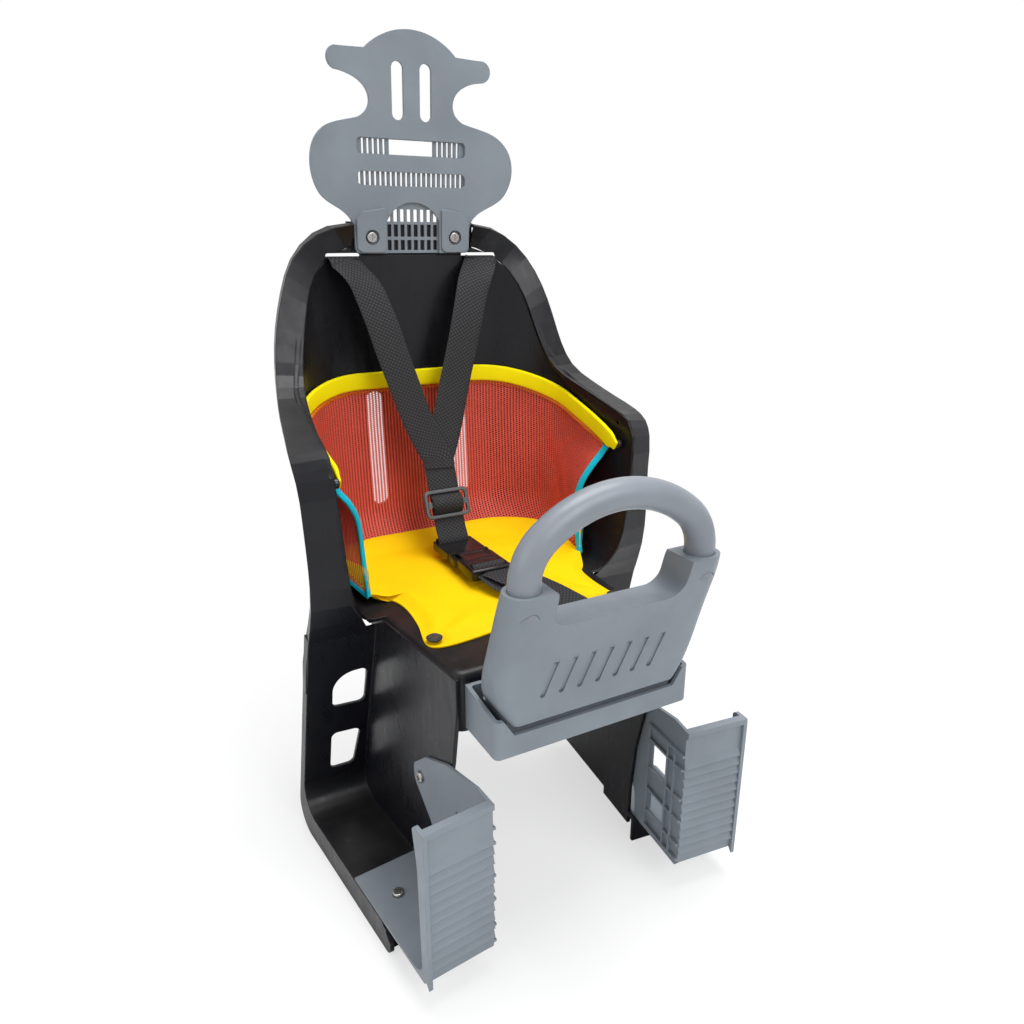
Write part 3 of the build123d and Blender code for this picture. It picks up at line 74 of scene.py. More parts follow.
class Slot(Enum):
    """Material slots of the record."""

    SHELL = "shell"
    GREY = "grey_plastic"
    TUBE = "grey_tube"
    DARK_GREY = "dark_grey_plastic"
    BLACK = "black_plastic"
    STEEL = "steel"
    WEBBING = "webbing"
    MESH = "red_mesh"
    YELLOW = "yellow_cloth"
    CYAN = "cyan_piping"


# ---- material graphs


def shaded(colour: Colour, scale: float, lift: float = 0.0) -> Colour:
    """Scale a colour and lift it, held at full."""
    return tuple(min(1.0, scale * part + lift) for part in colour)


class Graph:
    """Node tree of a material or of the world while it is being built."""

    def __init__(self, tree: bpy.types.NodeTree) -> None:
        """Empty the tree.

        Args:
            tree: Tree to build in.
        """
        self.tree = tree
        self.tree.nodes.clear()

    def add(self, kind: str, **settings: object) -> bpy.types.Node:
        """Add a node and set its properties.

        Args:
            kind: Type name of the node.
            **settings: Properties by name.

        Returns:
            The new node.
        """
        node = self.tree.nodes.new(kind)
        for name, value in settings.items():
            setattr(node, name, value)
        return node

    def join(self, source: Socket, target: Socket) -> None:
        """Link two sockets."""
        self.tree.links.new(source, target)

    def feed(self, target: Socket, value: object) -> None:
        """Link a socket to another, or set its plain value.

        Args:
            target: Socket to feed.
            value: Socket, number or colour.
        """
        if isinstance(value, Socket):
            self.join(value, target)
        elif isinstance(value, tuple) and len(value) == 3 and target.type == "RGBA":
            target.default_value = (*value, 1.0)
        else:
            target.default_value = value

    def math(self, operation: str, *values: object) -> Socket:
        """Combine numbers.

        Args:
            operation: Name of the math operation.
            *values: Sockets or numbers.

        Returns:
            The result's socket.
        """
        node = self.add("ShaderNodeMath", operation=operation)
        for socket, value in zip(node.inputs, values):
            self.feed(socket, value)
        return node.outputs[0]

    def times(self, first: object, second: object) -> Socket:
        """Multiply two numbers."""
        return self.math("MULTIPLY", first, second)

    def plus(self, first: object, second: object) -> Socket:
        """Add two numbers."""
        return self.math("ADD", first, second)

    def wave(self, value: object, length: float, shift: object = None) -> Socket:
        """Draw a sine wave along a value.

        Args:
            value: Socket that it runs along.
            length: Length of one wave.
            shift: Turn added to it.

        Returns:
            The wave's socket, from -1 to 1.
        """
        turn = self.times(value, 2 * math.pi / length)
        return self.math("SINE", turn if shift is None else self.plus(turn, shift))

    def mix(self, share: object, first: object, second: object) -> Socket:
        """Blend two colours.

        Args:
            share: How much of the second colour shows.
            first: First colour.
            second: Second colour.

        Returns:
            The blended colour's socket.
        """
        node = self.add("ShaderNodeMix", data_type="RGBA")
        for index, value in ((0, share), (6, first), (7, second)):
            self.feed(node.inputs[index], value)
        return node.outputs[2]

    def spread(self, value: object, low: float, high: float, to_low: float = 0.0,
               to_high: float = 1.0) -> Socket:
        """Map a number from one range to another, held at its ends.

        Args:
            value: Socket to map.
            low: Start of its range.
            high: End of its range.
            to_low: Result at the start.
            to_high: Result at the end.

        Returns:
            The mapped number's socket.
        """
        node = self.add("ShaderNodeMapRange")
        for socket, number in zip(node.inputs, (value, low, high, to_low, to_high)):
            self.feed(socket, number)
        return node.outputs[0]

    def contrast(self, cloud: object, half: float, to_low: float = 0.0,
                 to_high: float = 1.0) -> Socket:
        """Map a noise value about its middle, half the range on each side of it."""
        return self.spread(cloud, 0.5 - half, 0.5 + half, to_low, to_high)

    def place(self) -> Socket:
        """Give the object coordinates."""
        return self.add("ShaderNodeTexCoord").outputs["Object"]

    def weave_map(self) -> tuple[Socket, Socket]:
        """Read the piece's own map, in metres.

        Returns:
            Sockets of the place across and along the cloth.
        """
        split = self.add("ShaderNodeSeparateXYZ")
        self.join(self.add("ShaderNodeUVMap", uv_map="weave").outputs[0], split.inputs[0])
        return split.outputs[0], split.outputs[1]

    def stretched(self, place: Socket, scale: Point) -> Socket:
        """Scale coordinates.

        Args:
            place: Coordinates.
            scale: Scale along each axis.

        Returns:
            The scaled coordinates' socket.
        """
        node = self.add("ShaderNodeMapping")
        self.join(place, node.inputs["Vector"])
        self.feed(node.inputs["Scale"], scale)
        return node.outputs[0]

    def cloud(self, place: Socket, scale: float, detail: float) -> Socket:
        """Draw soft noise.

        Args:
            place: Coordinates.
            scale: Features per metre.
            detail: Finer layers.

        Returns:
            The noise value's socket.
        """
        node = self.add("ShaderNodeTexNoise")
        for name, value in (("Vector", place), ("Scale", scale), ("Detail", detail)):
            self.feed(node.inputs[name], value)
        return node.outputs[0]

    def bump(self, height: object, depth: float, strength: float,
             under: object = None) -> Socket:
        """Turn a height into a normal.

        Args:
            height: Height from 0 to 1.
            depth: Depth of the relief in metres.
            strength: Strength of the effect.
            under: Normal that it lies on.

        Returns:
            The normal's socket.
        """
        node = self.add("ShaderNodeBump")
        for name, value in (("Height", height), ("Distance", depth), ("Strength", strength)):
            self.feed(node.inputs[name], value)
        if under is not None:
            self.join(under, node.inputs["Normal"])
        return node.outputs[0]


class SurfaceGraph(Graph):
    """Tree of one material, with its principled shader."""

    def __init__(self, name: str) -> None:
        """Start the material.

        Args:
            name: Name of the material.
        """
        self.material = bpy.data.materials.new(name)
        self.material.use_nodes = True
        super().__init__(self.material.node_tree)
        self.output = self.add("ShaderNodeOutputMaterial")
        self.shader = self.add("ShaderNodeBsdfPrincipled")
        self.join(self.shader.outputs[0], self.output.inputs["Surface"])

    def done(self, inputs: dict[str, object]) -> bpy.types.Material:
        """Set the shader's inputs.

        Args:
            inputs: Sockets or plain values by name.

        Returns:
            The material.
        """
        for name, value in inputs.items():
            self.feed(self.shader.inputs[name], value)
        return self.material


@dataclass(frozen=True)
class MouldedPlastic:
    """Injection moulded plastic with fine grain, handling marks, dust on top and softened edges."""

    name: str
    colour: Colour
    rough: float = 0.4
    grain: float = 1400.0
    grain_depth: float = 0.00003
    edge: float = 0.0008
    dust: float = 0.25
    dust_colour: Colour = (0.16, 0.15, 0.14)
    wear: float = 0.2
    specular: float = 0.35
    patch_scale: float = 9.0
    mark_scale: float = 130.0
    dust_scale: float = 34.0

    def make(self) -> bpy.types.Material:
        """Build the material."""
        graph = SurfaceGraph(self.name)
        place = graph.place()
        normal = graph.add("ShaderNodeNewGeometry").outputs["Normal"]
        soft = graph.add("ShaderNodeBevel", samples=4)
        graph.feed(soft.inputs["Radius"], self.edge)
        patches = graph.contrast(graph.cloud(place, self.patch_scale, 4.0), 0.15)
        colour = graph.mix(patches, shaded(self.colour, 0.88), shaded(self.colour, 1.08, 0.002))
        marks = graph.cloud(graph.stretched(place, (1.0, 1.0, 0.25)), self.mark_scale, 5.0)
        turn = graph.add("ShaderNodeVectorMath", operation="DOT_PRODUCT")
        graph.join(soft.outputs[0], turn.inputs[0])
        graph.join(normal, turn.inputs[1])
        edges = graph.spread(turn.outputs["Value"], 0.9, 0.995, self.wear, 0.0)
        rub = graph.times(edges, graph.contrast(marks, 0.1, 0.3))
        colour = graph.mix(rub, colour, shaded(self.colour, 1.5, 0.03))
        upward = graph.add("ShaderNodeSeparateXYZ")
        graph.join(normal, upward.inputs[0])
        lying = graph.spread(upward.outputs[2], 0.55, 0.98, 0.0, self.dust)
        film = graph.times(lying, graph.contrast(graph.cloud(place, self.dust_scale, 6.0), 0.2, 0.2))
        gloss = graph.contrast(marks, 0.2, self.rough - 0.05, self.rough + 0.07)
        grain = graph.cloud(place, self.grain, 1.0)
        return graph.done({
            "Base Color": graph.mix(film, colour, self.dust_colour),
            "Roughness": graph.plus(gloss, graph.times(film, 0.4)),
            "Specular IOR Level": self.specular,
            "Normal": graph.bump(grain, self.grain_depth, 0.6, soft.outputs[0]),
        })


@dataclass(frozen=True)
class ScrewSteel:
    """Stainless steel of the pan-head screws, lightly brushed."""

    name: str = "screw_steel"
    colour: Colour = (0.40, 0.39, 0.37)
    brush_scale: float = 900.0
    stain_scale: float = 160.0

    def make(self) -> bpy.types.Material:
        """Build the material."""
        graph = SurfaceGraph(self.name)
        place = graph.place()
        brushed = graph.cloud(graph.stretched(place, (1.0, 8.0, 1.0)), self.brush_scale, 3.0)
        stain = graph.cloud(place, self.stain_scale, 4.0)
        return graph.done({
            "Base Color": graph.mix(stain, shaded(self.colour, 0.72), self.colour),
            "Metallic": 1.0,
            "Roughness": graph.contrast(brushed, 0.2, 0.22, 0.4),
            "Normal": graph.bump(brushed, 0.00002, 0.5),
        })


@dataclass(frozen=True)
class Twill:
    """Woven webbing: rows of short raised stitches, each row shifted by half a stitch; its colour holds
    painted shade in the low parts and painted highlights on the stitches.
    """

    name: str = "harness_twill"
    colour: Colour = (0.0125, 0.0125, 0.014)
    row: float = 0.0023
    stitch: float = 0.0026
    fuzz_scale: float = 1600.0

    def make(self) -> bpy.types.Material:
        """Build the material."""
        graph = SurfaceGraph(self.name)
        across, along = graph.weave_map()
        rows = graph.wave(along, 2 * self.row)
        woven = graph.times(rows, graph.wave(across, 2 * self.stitch))
        lines = graph.times(graph.math("ABSOLUTE", rows), 0.7)
        height = graph.spread(graph.plus(woven, lines), -0.6, 1.5)
        fuzz = graph.cloud(graph.place(), self.fuzz_scale, 2.0)
        # Painted shade and highlight: the colour is darker in the weave's low parts and lighter on its raised
        # stitches, with random fuzz.
        painted_light_and_fuzz = graph.plus(graph.times(height, 0.8), graph.times(fuzz, 0.3))
        return graph.done({
            "Base Color": graph.mix(painted_light_and_fuzz, shaded(self.colour, 0.22), shaded(self.colour, 2.4)),
            "Roughness": graph.spread(height, 0.0, 1.0, 0.9, 0.55),
            "Specular IOR Level": 0.3,
            "Normal": graph.bump(height, 0.0005, 0.9),
        })


@dataclass(frozen=True)
class OpenMesh:
    """Knitted open mesh with upright rows of small holes, with painted shade in the holes and painted
    highlight speckles on the threads.
    """

    name: str = "open_mesh"
    colour: Colour = (0.70, 0.070, 0.036)
    column: float = 0.0039
    row: float = 0.0026
    cover: float = 0.82
    hole_depth: float = 0.74

    def make(self) -> bpy.types.Material:
        """Build the material."""
        graph = SurfaceGraph(self.name)
        across, along = graph.weave_map()
        columns = graph.wave(across, self.column)
        stagger = graph.times(graph.math("FLOOR", graph.math("DIVIDE", across, self.column)), math.pi)
        rows = graph.wave(along, self.row, stagger)
        holes = graph.spread(graph.plus(graph.times(columns, 0.52), graph.times(rows, 0.48)), 0.02, 0.34)
        place = graph.place()
        thread = graph.contrast(graph.cloud(place, 700.0, 3.0), 0.2)
        broad = graph.contrast(graph.cloud(place, 14.0, 3.0), 0.15, 0.0, 0.25)
        # Lighter copy: painted highlight speckles on the threads. Darker copy: painted shade in the holes,
        # also used for random darker patches.
        light, painted_shade_and_patch = shaded(self.colour, 1.15, 0.07), shaded(self.colour, 0.45)
        colour = graph.mix(broad, graph.mix(thread, self.colour, light), painted_shade_and_patch)
        return graph.done({
            # Painted shade: the holes are painted darker.
            "Base Color": graph.mix(graph.times(holes, 0.5), colour, painted_shade_and_patch),
            "Roughness": 0.5,
            "Specular IOR Level": 0.4,
            "Alpha": graph.math("SUBTRACT", self.cover, graph.times(holes, self.hole_depth)),
            "Normal": graph.bump(graph.math("SUBTRACT", 1.0, holes), 0.0005, 0.7),
        })


@dataclass(frozen=True)
class KnitCloth:
    """Smooth knitted cloth with a fine rib, soft creases and a slight sheen; the knit's gaps are painted
    darker as painted shade.
    """

    name: str
    colour: Colour
    rib: float = 0.0009
    rough: float = 0.7
    creases: float = 0.0006
    fold_scale: float = 38.0
    tone_scale: float = 11.0

    def make(self) -> bpy.types.Material:
        """Build the material."""
        graph = SurfaceGraph(self.name)
        across, along = graph.weave_map()
        courses = graph.times(graph.wave(along, 1.3 * self.rib), 0.6)
        knit = graph.spread(graph.plus(graph.wave(across, self.rib), courses), -1.6, 1.6)
        place = graph.place()
        folds = graph.cloud(graph.stretched(place, (1.0, 0.6, 1.0)), self.fold_scale, 3.0)
        tone = graph.contrast(graph.cloud(place, self.tone_scale, 3.0), 0.15, 0.0, 0.6)
        colour = graph.mix(tone, self.colour, shaded(self.colour, 0.86))
        # Painted shade: the knit's gaps are painted darker.
        painted_gap_shade = graph.times(graph.math("SUBTRACT", 1.0, knit), 0.22)
        return graph.done({
            "Base Color": graph.mix(painted_gap_shade, colour, shaded(self.colour, 0.72)),
            "Roughness": graph.spread(knit, 0.0, 1.0, self.rough + 0.1, self.rough - 0.05),
            "Specular IOR Level": 0.12,
            "Normal": graph.bump(knit, 0.00012, 0.6, graph.bump(folds, self.creases, 0.7)),
        })


@dataclass(frozen=True)
class Thread:
    """Twisted sewing thread or elastic cord, with painted shade in the grooves of its twist."""

    name: str
    colour: Colour
    twist: float = 0.0012
    fuzz_scale: float = 2200.0

    def make(self) -> bpy.types.Material:
        """Build the material."""
        graph = SurfaceGraph(self.name)
        place = graph.place()
        bands = graph.add("ShaderNodeTexWave", wave_type="BANDS", bands_direction="DIAGONAL")
        graph.join(place, bands.inputs["Vector"])
        graph.feed(bands.inputs["Scale"], 0.3 / self.twist)
        # Painted shade: the twist's grooves are painted darker; the same bands make its bump.
        twist_relief = bands.outputs[1]
        return graph.done({
            "Base Color": graph.mix(twist_relief, shaded(self.colour, 0.55), self.colour),
            "Roughness": graph.contrast(graph.cloud(place, self.fuzz_scale, 2.0), 0.2, 0.55, 0.75),
            "Normal": graph.bump(twist_relief, 0.0001, 0.5),
        })


class Finishes:
    """All finishes of the seat, each made once."""

    def __init__(self) -> None:
        """Make every material."""
        self.shell = MouldedPlastic("shell_black", (0.0048, 0.0050, 0.0072), rough=0.30, grain=1100.0,
                                    edge=0.002, dust=0.2, dust_colour=(0.060, 0.050, 0.042), wear=0.1,
                                    specular=0.24).make()
        self.grey = MouldedPlastic("grey_plastic", (0.176, 0.203, 0.232), rough=0.44, dust=0.1, specular=0.3,
                                   dust_colour=(0.38, 0.39, 0.4), wear=0.22).make()
        self.tube = MouldedPlastic("grey_tube", (0.184, 0.204, 0.232), rough=0.34, dust=0.06, edge=0.0006,
                                   dust_colour=(0.38, 0.39, 0.4), wear=0.1, specular=0.4).make()
        self.dark_grey = MouldedPlastic("adjuster_grey", (0.052, 0.054, 0.06), rough=0.32, edge=0.0004,
                                        dust=0.05, wear=0.3).make()
        self.black = MouldedPlastic("buckle_black", (0.0065, 0.0065, 0.0072), rough=0.20, edge=0.0005,
                                    dust=0.02, dust_colour=(0.1, 0.1, 0.1), wear=0.05,
                                    grain_depth=0.000005).make()
        self.steel = ScrewSteel().make()
        self.twill = Twill().make()
        self.mesh = OpenMesh().make()
        self.yellow = KnitCloth("yellow_cloth", (0.92, 0.585, 0.0006)).make()
        self.band = KnitCloth("yellow_binding", (0.90, 0.76, 0.001), rib=0.0007, creases=0.0004).make()
        self.cyan = KnitCloth("cyan_tape", (0.006, 0.42, 0.56), rib=0.0011, creases=0.0002).make()
        self.orange_thread = Thread("orange_thread", (1.0, 0.30, 0.01)).make()
        self.yellow_thread = Thread("yellow_thread", (1.0, 0.72, 0.02)).make()
        self.black_elastic = Thread("black_elastic", (0.02, 0.02, 0.021), twist=0.002).make()


# ---- making pieces


def deselect_all() -> None:
    """Leave nothing selected and no mode active."""
    if bpy.context.object and bpy.context.object.mode != "OBJECT":
        bpy.ops.object.mode_set(mode="OBJECT")
    bpy.ops.object.select_all(action="DESELECT")


def activate(piece: Piece) -> None:
    """Select one piece alone and make it active.

    Args:
        piece: The piece.
    """
    deselect_all()
    piece.select_set(True)
    bpy.context.view_layer.objects.active = piece


def apply_modifier(piece: Piece, kind: str, **settings: object) -> None:
    """Add a modifier and apply it.

    Args:
        piece: Piece to change.
        kind: Type of the modifier.
        **settings: Its properties by name.
    """
    modifier = piece.modifiers.new(kind.lower(), kind)
    for name, value in settings.items():
        setattr(modifier, name, value)
    activate(piece)
    bpy.ops.object.modifier_apply(modifier=modifier.name)
def bevel(piece: Piece, width: float, segments: int, angle: float = 0.6) -> None:
    """Round the edges of a piece.

    Args:
        piece: Piece to change.
        width: Width of the round.
        segments: Parts of the round.
        angle: Angle in radians past which an edge is rounded.
    """
    apply_modifier(piece, "BEVEL", width=width, segments=segments, limit_method="ANGLE", angle_limit=angle)


def join(pieces: Sequence[Piece], name: str) -> Piece:
    """Join pieces into the first and name it.

    Args:
        pieces: Pieces to join.
        name: Name of the whole.

    Returns:
        The joined piece.
    """
    activate(pieces[0])
    for piece in pieces:
        piece.select_set(True)
    bpy.ops.object.join()
    pieces[0].name = name
    return pieces[0]


def link(name: str, data: bpy.types.ID) -> Piece:
    """Put new data into the scene.

    Args:
        name: Name of the object.
        data: Mesh, curve, lamp or camera.

    Returns:
        The new object.
    """
    piece = bpy.data.objects.new(name, data)
    bpy.context.scene.collection.objects.link(piece)
    return piece


def dress(piece: Piece, material: bpy.types.Material, smooth: float = 40.0) -> None:
    """Give a new piece its finish, soft shading and body.

    Args:
        piece: The new piece.
        material: Its finish.
        smooth: Angle in degrees up to which edges are shaded round.
    """
    piece.data.materials.clear()
    piece.data.materials.append(material)
    activate(piece)
    bpy.ops.object.shade_smooth_by_angle(angle=math.radians(smooth))
    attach(piece, "root")
    deselect_all()
    LOG.info("piece %s: %d faces", piece.name, len(piece.data.polygons))


def surface(name: str, rows: Sequence[Sequence[Vector]],
            marks: Sequence[Sequence[tuple[float, float]]], ring: bool = False,
            caps: bool = False) -> Piece:
    """Join rows of points into a surface with its own weave map.

    Args:
        name: Name of the piece.
        rows: Points, row by row.
        marks: Weave map of each point, in metres; a ring has one more in each row.
        ring: Whether each row closes on itself.
        caps: Whether the first and last row are closed.

    Returns:
        The new piece.
    """
    form = bmesh.new()
    weave = form.loops.layers.uv.new("weave")
    grid = [[form.verts.new(point) for point in row] for row in rows]
    wide = len(rows[0])
    for i in range(len(rows) - 1):
        for j in range(wide if ring else wide - 1):
            k = (j + 1) % wide
            face = form.faces.new((grid[i][j], grid[i][k], grid[i + 1][k], grid[i + 1][j]))
            places = ((i, j), (i, j + 1), (i + 1, j + 1), (i + 1, j))
            for loop, (row, column) in zip(face.loops, places):
                loop[weave].uv = marks[row][column]
    if caps:
        for row, turned in ((0, True), (len(rows) - 1, False)):
            ends = grid[row][::-1] if turned else grid[row]
            face = form.faces.new(ends)
            for loop in face.loops:
                loop[weave].uv = marks[row][0]
        bmesh.ops.triangulate(form, faces=[face for face in form.faces if len(face.verts) > 4])
    bmesh.ops.recalc_face_normals(form, faces=form.faces)
    mesh = bpy.data.meshes.new(name)
    form.to_mesh(mesh)
    form.free()
    return link(name, mesh)


def smooth_line(points: Sequence[Vector], steps: int) -> list[Vector]:
    """Pass a smooth line through points.

    Args:
        points: The points.
        steps: Parts between two neighbours.

    Returns:
        Points along the line, both ends included.
    """
    line = []
    last = len(points) - 1
    for i in range(last):
        before, start, end, after = points[max(i - 1, 0)], points[i], points[i + 1], points[min(i + 2, last)]
        straight, square = end - before, 2 * before - 5 * start + 4 * end - after
        cube = 3 * start - before - 3 * end + after
        for step in range(steps):
            t = step / steps
            line.append(0.5 * (2 * start + straight * t + square * t * t + cube * t * t * t))
    line.append(points[last])
    return line


def heading(line: Sequence[Vector], index: int) -> Vector:
    """Direction of a line at one of its points."""
    return (line[min(index + 1, len(line) - 1)] - line[max(index - 1, 0)]).normalized()


def girth(outline: Sequence[tuple[float, float]]) -> list[float]:
    """Measure round a closed outline.

    Args:
        outline: Its points.

    Returns:
        Length from the first point to each one, and back to the first.
    """
    lengths = [0.0]
    for (ax, ay), (bx, by) in zip(outline, outline[1:] + outline[:1]):
        lengths.append(lengths[-1] + math.hypot(bx - ax, by - ay))
    return lengths


def along_table(table: Sequence[tuple[float, float]], value: float) -> float:
    """Read a table of pairs, straight between its entries and held at its ends.

    Args:
        table: Pairs in rising order of the first number.
        value: Place in the table.

    Returns:
        The second number there.
    """
    if value <= table[0][0]:
        return table[0][1]
    for (start, first), (end, second) in zip(table, table[1:]):
        if value <= end:
            return first + (second - first) * (value - start) / (end - start)
    return table[-1][1]


def ease(value: float) -> float:
    """Soft step from 0 to 1."""
    held = min(1.0, max(0.0, value))
    return held * held * (3 - 2 * held)


@dataclass(frozen=True)
class Sweep:
    """Closed outline carried along a line, with a weave map round and along it."""

    outline: Outline

    def build(self, name: str, stations: Sequence[tuple[Vector, Vector, Vector]],
              swell: Callable[[float], float] = lambda share: 1.0) -> Piece:
        """Carry the outline through the stations.

        Args:
            name: Name of the piece.
            stations: Centre, direction of the outline's width and direction of its height.
            swell: Scale of the outline at a share of the way.

        Returns:
            The closed piece.
        """
        lengths = girth(self.outline)
        rows, marks, run = [], [], 0.0
        for index, (centre, wide, high) in enumerate(stations):
            if index:
                run += (centre - stations[index - 1][0]).length
            size = swell(index / (len(stations) - 1))
            rows.append([centre + wide * (x * size) + high * (y * size) for x, y in self.outline])
            marks.append([(place, run) for place in lengths])
        return surface(name, rows, marks, ring=True, caps=True)


def round_bar(width: float, height: float, corner: float, steps: int = 3) -> Outline:
    """Outline of a bar with round corners.

    Args:
        width: Full width.
        height: Full height.
        corner: Radius of the corners.
        steps: Parts of each corner.

    Returns:
        The outline's points in order.
    """
    points = []
    for cx, cy, start in ((1, 1, 0), (-1, 1, 90), (-1, -1, 180), (1, -1, 270)):
        for step in range(steps + 1):
            angle = math.radians(start + 90 * step / steps)
            points.append((cx * (width / 2 - corner) + corner * math.cos(angle),
                           cy * (height / 2 - corner) + corner * math.sin(angle)))
    return tuple(points)


# ---- the seat's pieces


@dataclass(frozen=True)
class Bucket:
    """Inner form of the moulded bucket, as level sections above the pan."""

    pan_top: float = 0.284
    front: float = -0.060
    back_fillet: float = 0.058
    side_round: float = 0.020
    side_round_high: float = 0.060
    back_low: float = 0.194
    back_face: float = 0.203
    back_upright: float = 0.156
    side_half: float = 0.160
    side_flare: float = 0.07
    back_taper: float = 0.011
    corner_low: float = 0.082
    corner_high: float = 0.095

    @staticmethod
    def rounding(radius: float, rise: float) -> float:
        """How far a quarter round stands in at a rise."""
        below = max(0.0, radius - rise)
        return radius - math.sqrt(radius**2 - below**2)

    def section(self, z: float, inset: float) -> tuple[float, float, float, float, Vector]:
        """Measure the half section at a height.

        Args:
            z: Height above the ground.
            inset: Distance inside the wall.

        Returns:
            Length of the straight back, corner radius, corner's turn, depth, and direction of the side wall.
        """
        rise = max(0.0, z - self.pan_top)
        share = min(1.0, rise / self.back_upright)
        bend = self.rounding(1.0, rise / self.side_round_high) * self.side_round
        front = self.side_half + self.side_flare * min(rise, self.back_upright) - bend - inset
        depth = self.back_low + (self.back_face - self.back_low) * share
        depth -= self.rounding(self.back_fillet, rise) + inset
        corner = self.corner_low + (self.corner_high - self.corner_low) * share - inset
        back = front - self.back_taper
        side = Vector((front - back, self.front - depth)).normalized()
        turn = math.acos(side.x)
        return back - corner * math.tan(turn / 2), corner, turn, depth, side

    def place(self, z: float, run: float, inset: float) -> tuple[Vector, Vector]:
        """Point on the lining and its inward direction.

        Args:
            z: Height above the ground.
            run: Length along the section from the middle of the back, rising to the right.
            inset: Distance inside the wall.

        Returns:
            The point and the inward direction, level.
        """
        straight, corner, turn, depth, side = self.section(z, inset)
        hand = 1.0 if run >= 0 else -1.0
        length = abs(run)
        if length <= straight:
            point, inward = Vector((length, depth)), Vector((0.0, -1.0))
        elif length <= straight + corner * turn:
            angle = (length - straight) / corner
            outward = Vector((math.sin(angle), math.cos(angle)))
            point = Vector((straight, depth - corner)) + outward * corner
            inward = -outward
        else:
            outward = Vector((math.sin(turn), math.cos(turn)))
            start = Vector((straight, depth - corner)) + outward * corner
            point = start + side * (length - straight - corner * turn)
            inward = -outward
        return (Vector((hand * point.x, point.y + MIDDLE_Y, z)), Vector((hand * inward.x, inward.y, 0.0)))

    def run_to(self, z: float, y: float, inset: float) -> float:
        """Length along the section at which the side wall reaches a depth.

        Args:
            z: Height above the ground.
            y: Depth, measured as the section's own.
            inset: Distance inside the wall.

        Returns:
            The length from the middle of the back.
        """
        low, high = 0.0, 0.6
        for _ in range(40):
            middle = (low + high) / 2
            if self.place(z, middle, inset)[0].y - MIDDLE_Y > y:
                low = middle
            else:
                high = middle
        return low


@dataclass
class Webbing:
    """Flat harness webbing."""

    finishes: Finishes
    width: float = 0.038
    thick: float = 0.0018

    def strap(self, name: str, stations: Sequence[tuple[Point, Point]], replaced: Sequence[str] = (),
              steps: int = 6) -> None:
        """Lay a strap through stations.

        Args:
            name: Name of the piece.
            stations: Centre of the strap and direction across it.
            replaced: Nodes that the strap stands for.
            steps: Parts between two stations.
        """
        centres = smooth_line([Vector((x, y + MIDDLE_Y, z)) for (x, y, z), _ in stations], steps)
        sides = smooth_line([Vector(across) for _, across in stations], steps)
        frames = []
        for i, centre in enumerate(centres):
            run = heading(centres, i)
            across = (sides[i] - run * sides[i].dot(run)).normalized()
            frames.append((centre, across, across.cross(run)))
        piece = Sweep(self.outline()).build(name, frames)
        self.centre_map(piece)
        dress(piece, self.finishes.twill, 50.0)
        if replaced:
            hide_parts(*replaced)

    def outline(self) -> Outline:
        """Draw the cross-section: flat faces in eight parts with thinner round edges.

        Returns:
            Its points in order.
        """
        half, thick = self.width / 2, self.thick / 2
        top = [(half * share, thick * (1.0 if abs(share) < 0.9 else 0.75))
               for share in (0.95, 0.7, 0.35, 0.0, -0.35, -0.7, -0.95)]
        low = [(x, -y) for x, y in reversed(top)]
        return tuple([(half, 0.0)] + top + [(-half, 0.0)] + low)

    def centre_map(self, piece: Piece) -> None:
        """Rewrite the weave map so that it measures from the strap's middle on both faces.

        Args:
            piece: The strap.
        """
        outline = self.outline()
        table = list(zip(girth(outline), [x for x, _ in outline + outline[:1]]))
        for entry in piece.data.uv_layers["weave"].data:
            entry.uv.x = along_table(table, entry.uv.x)


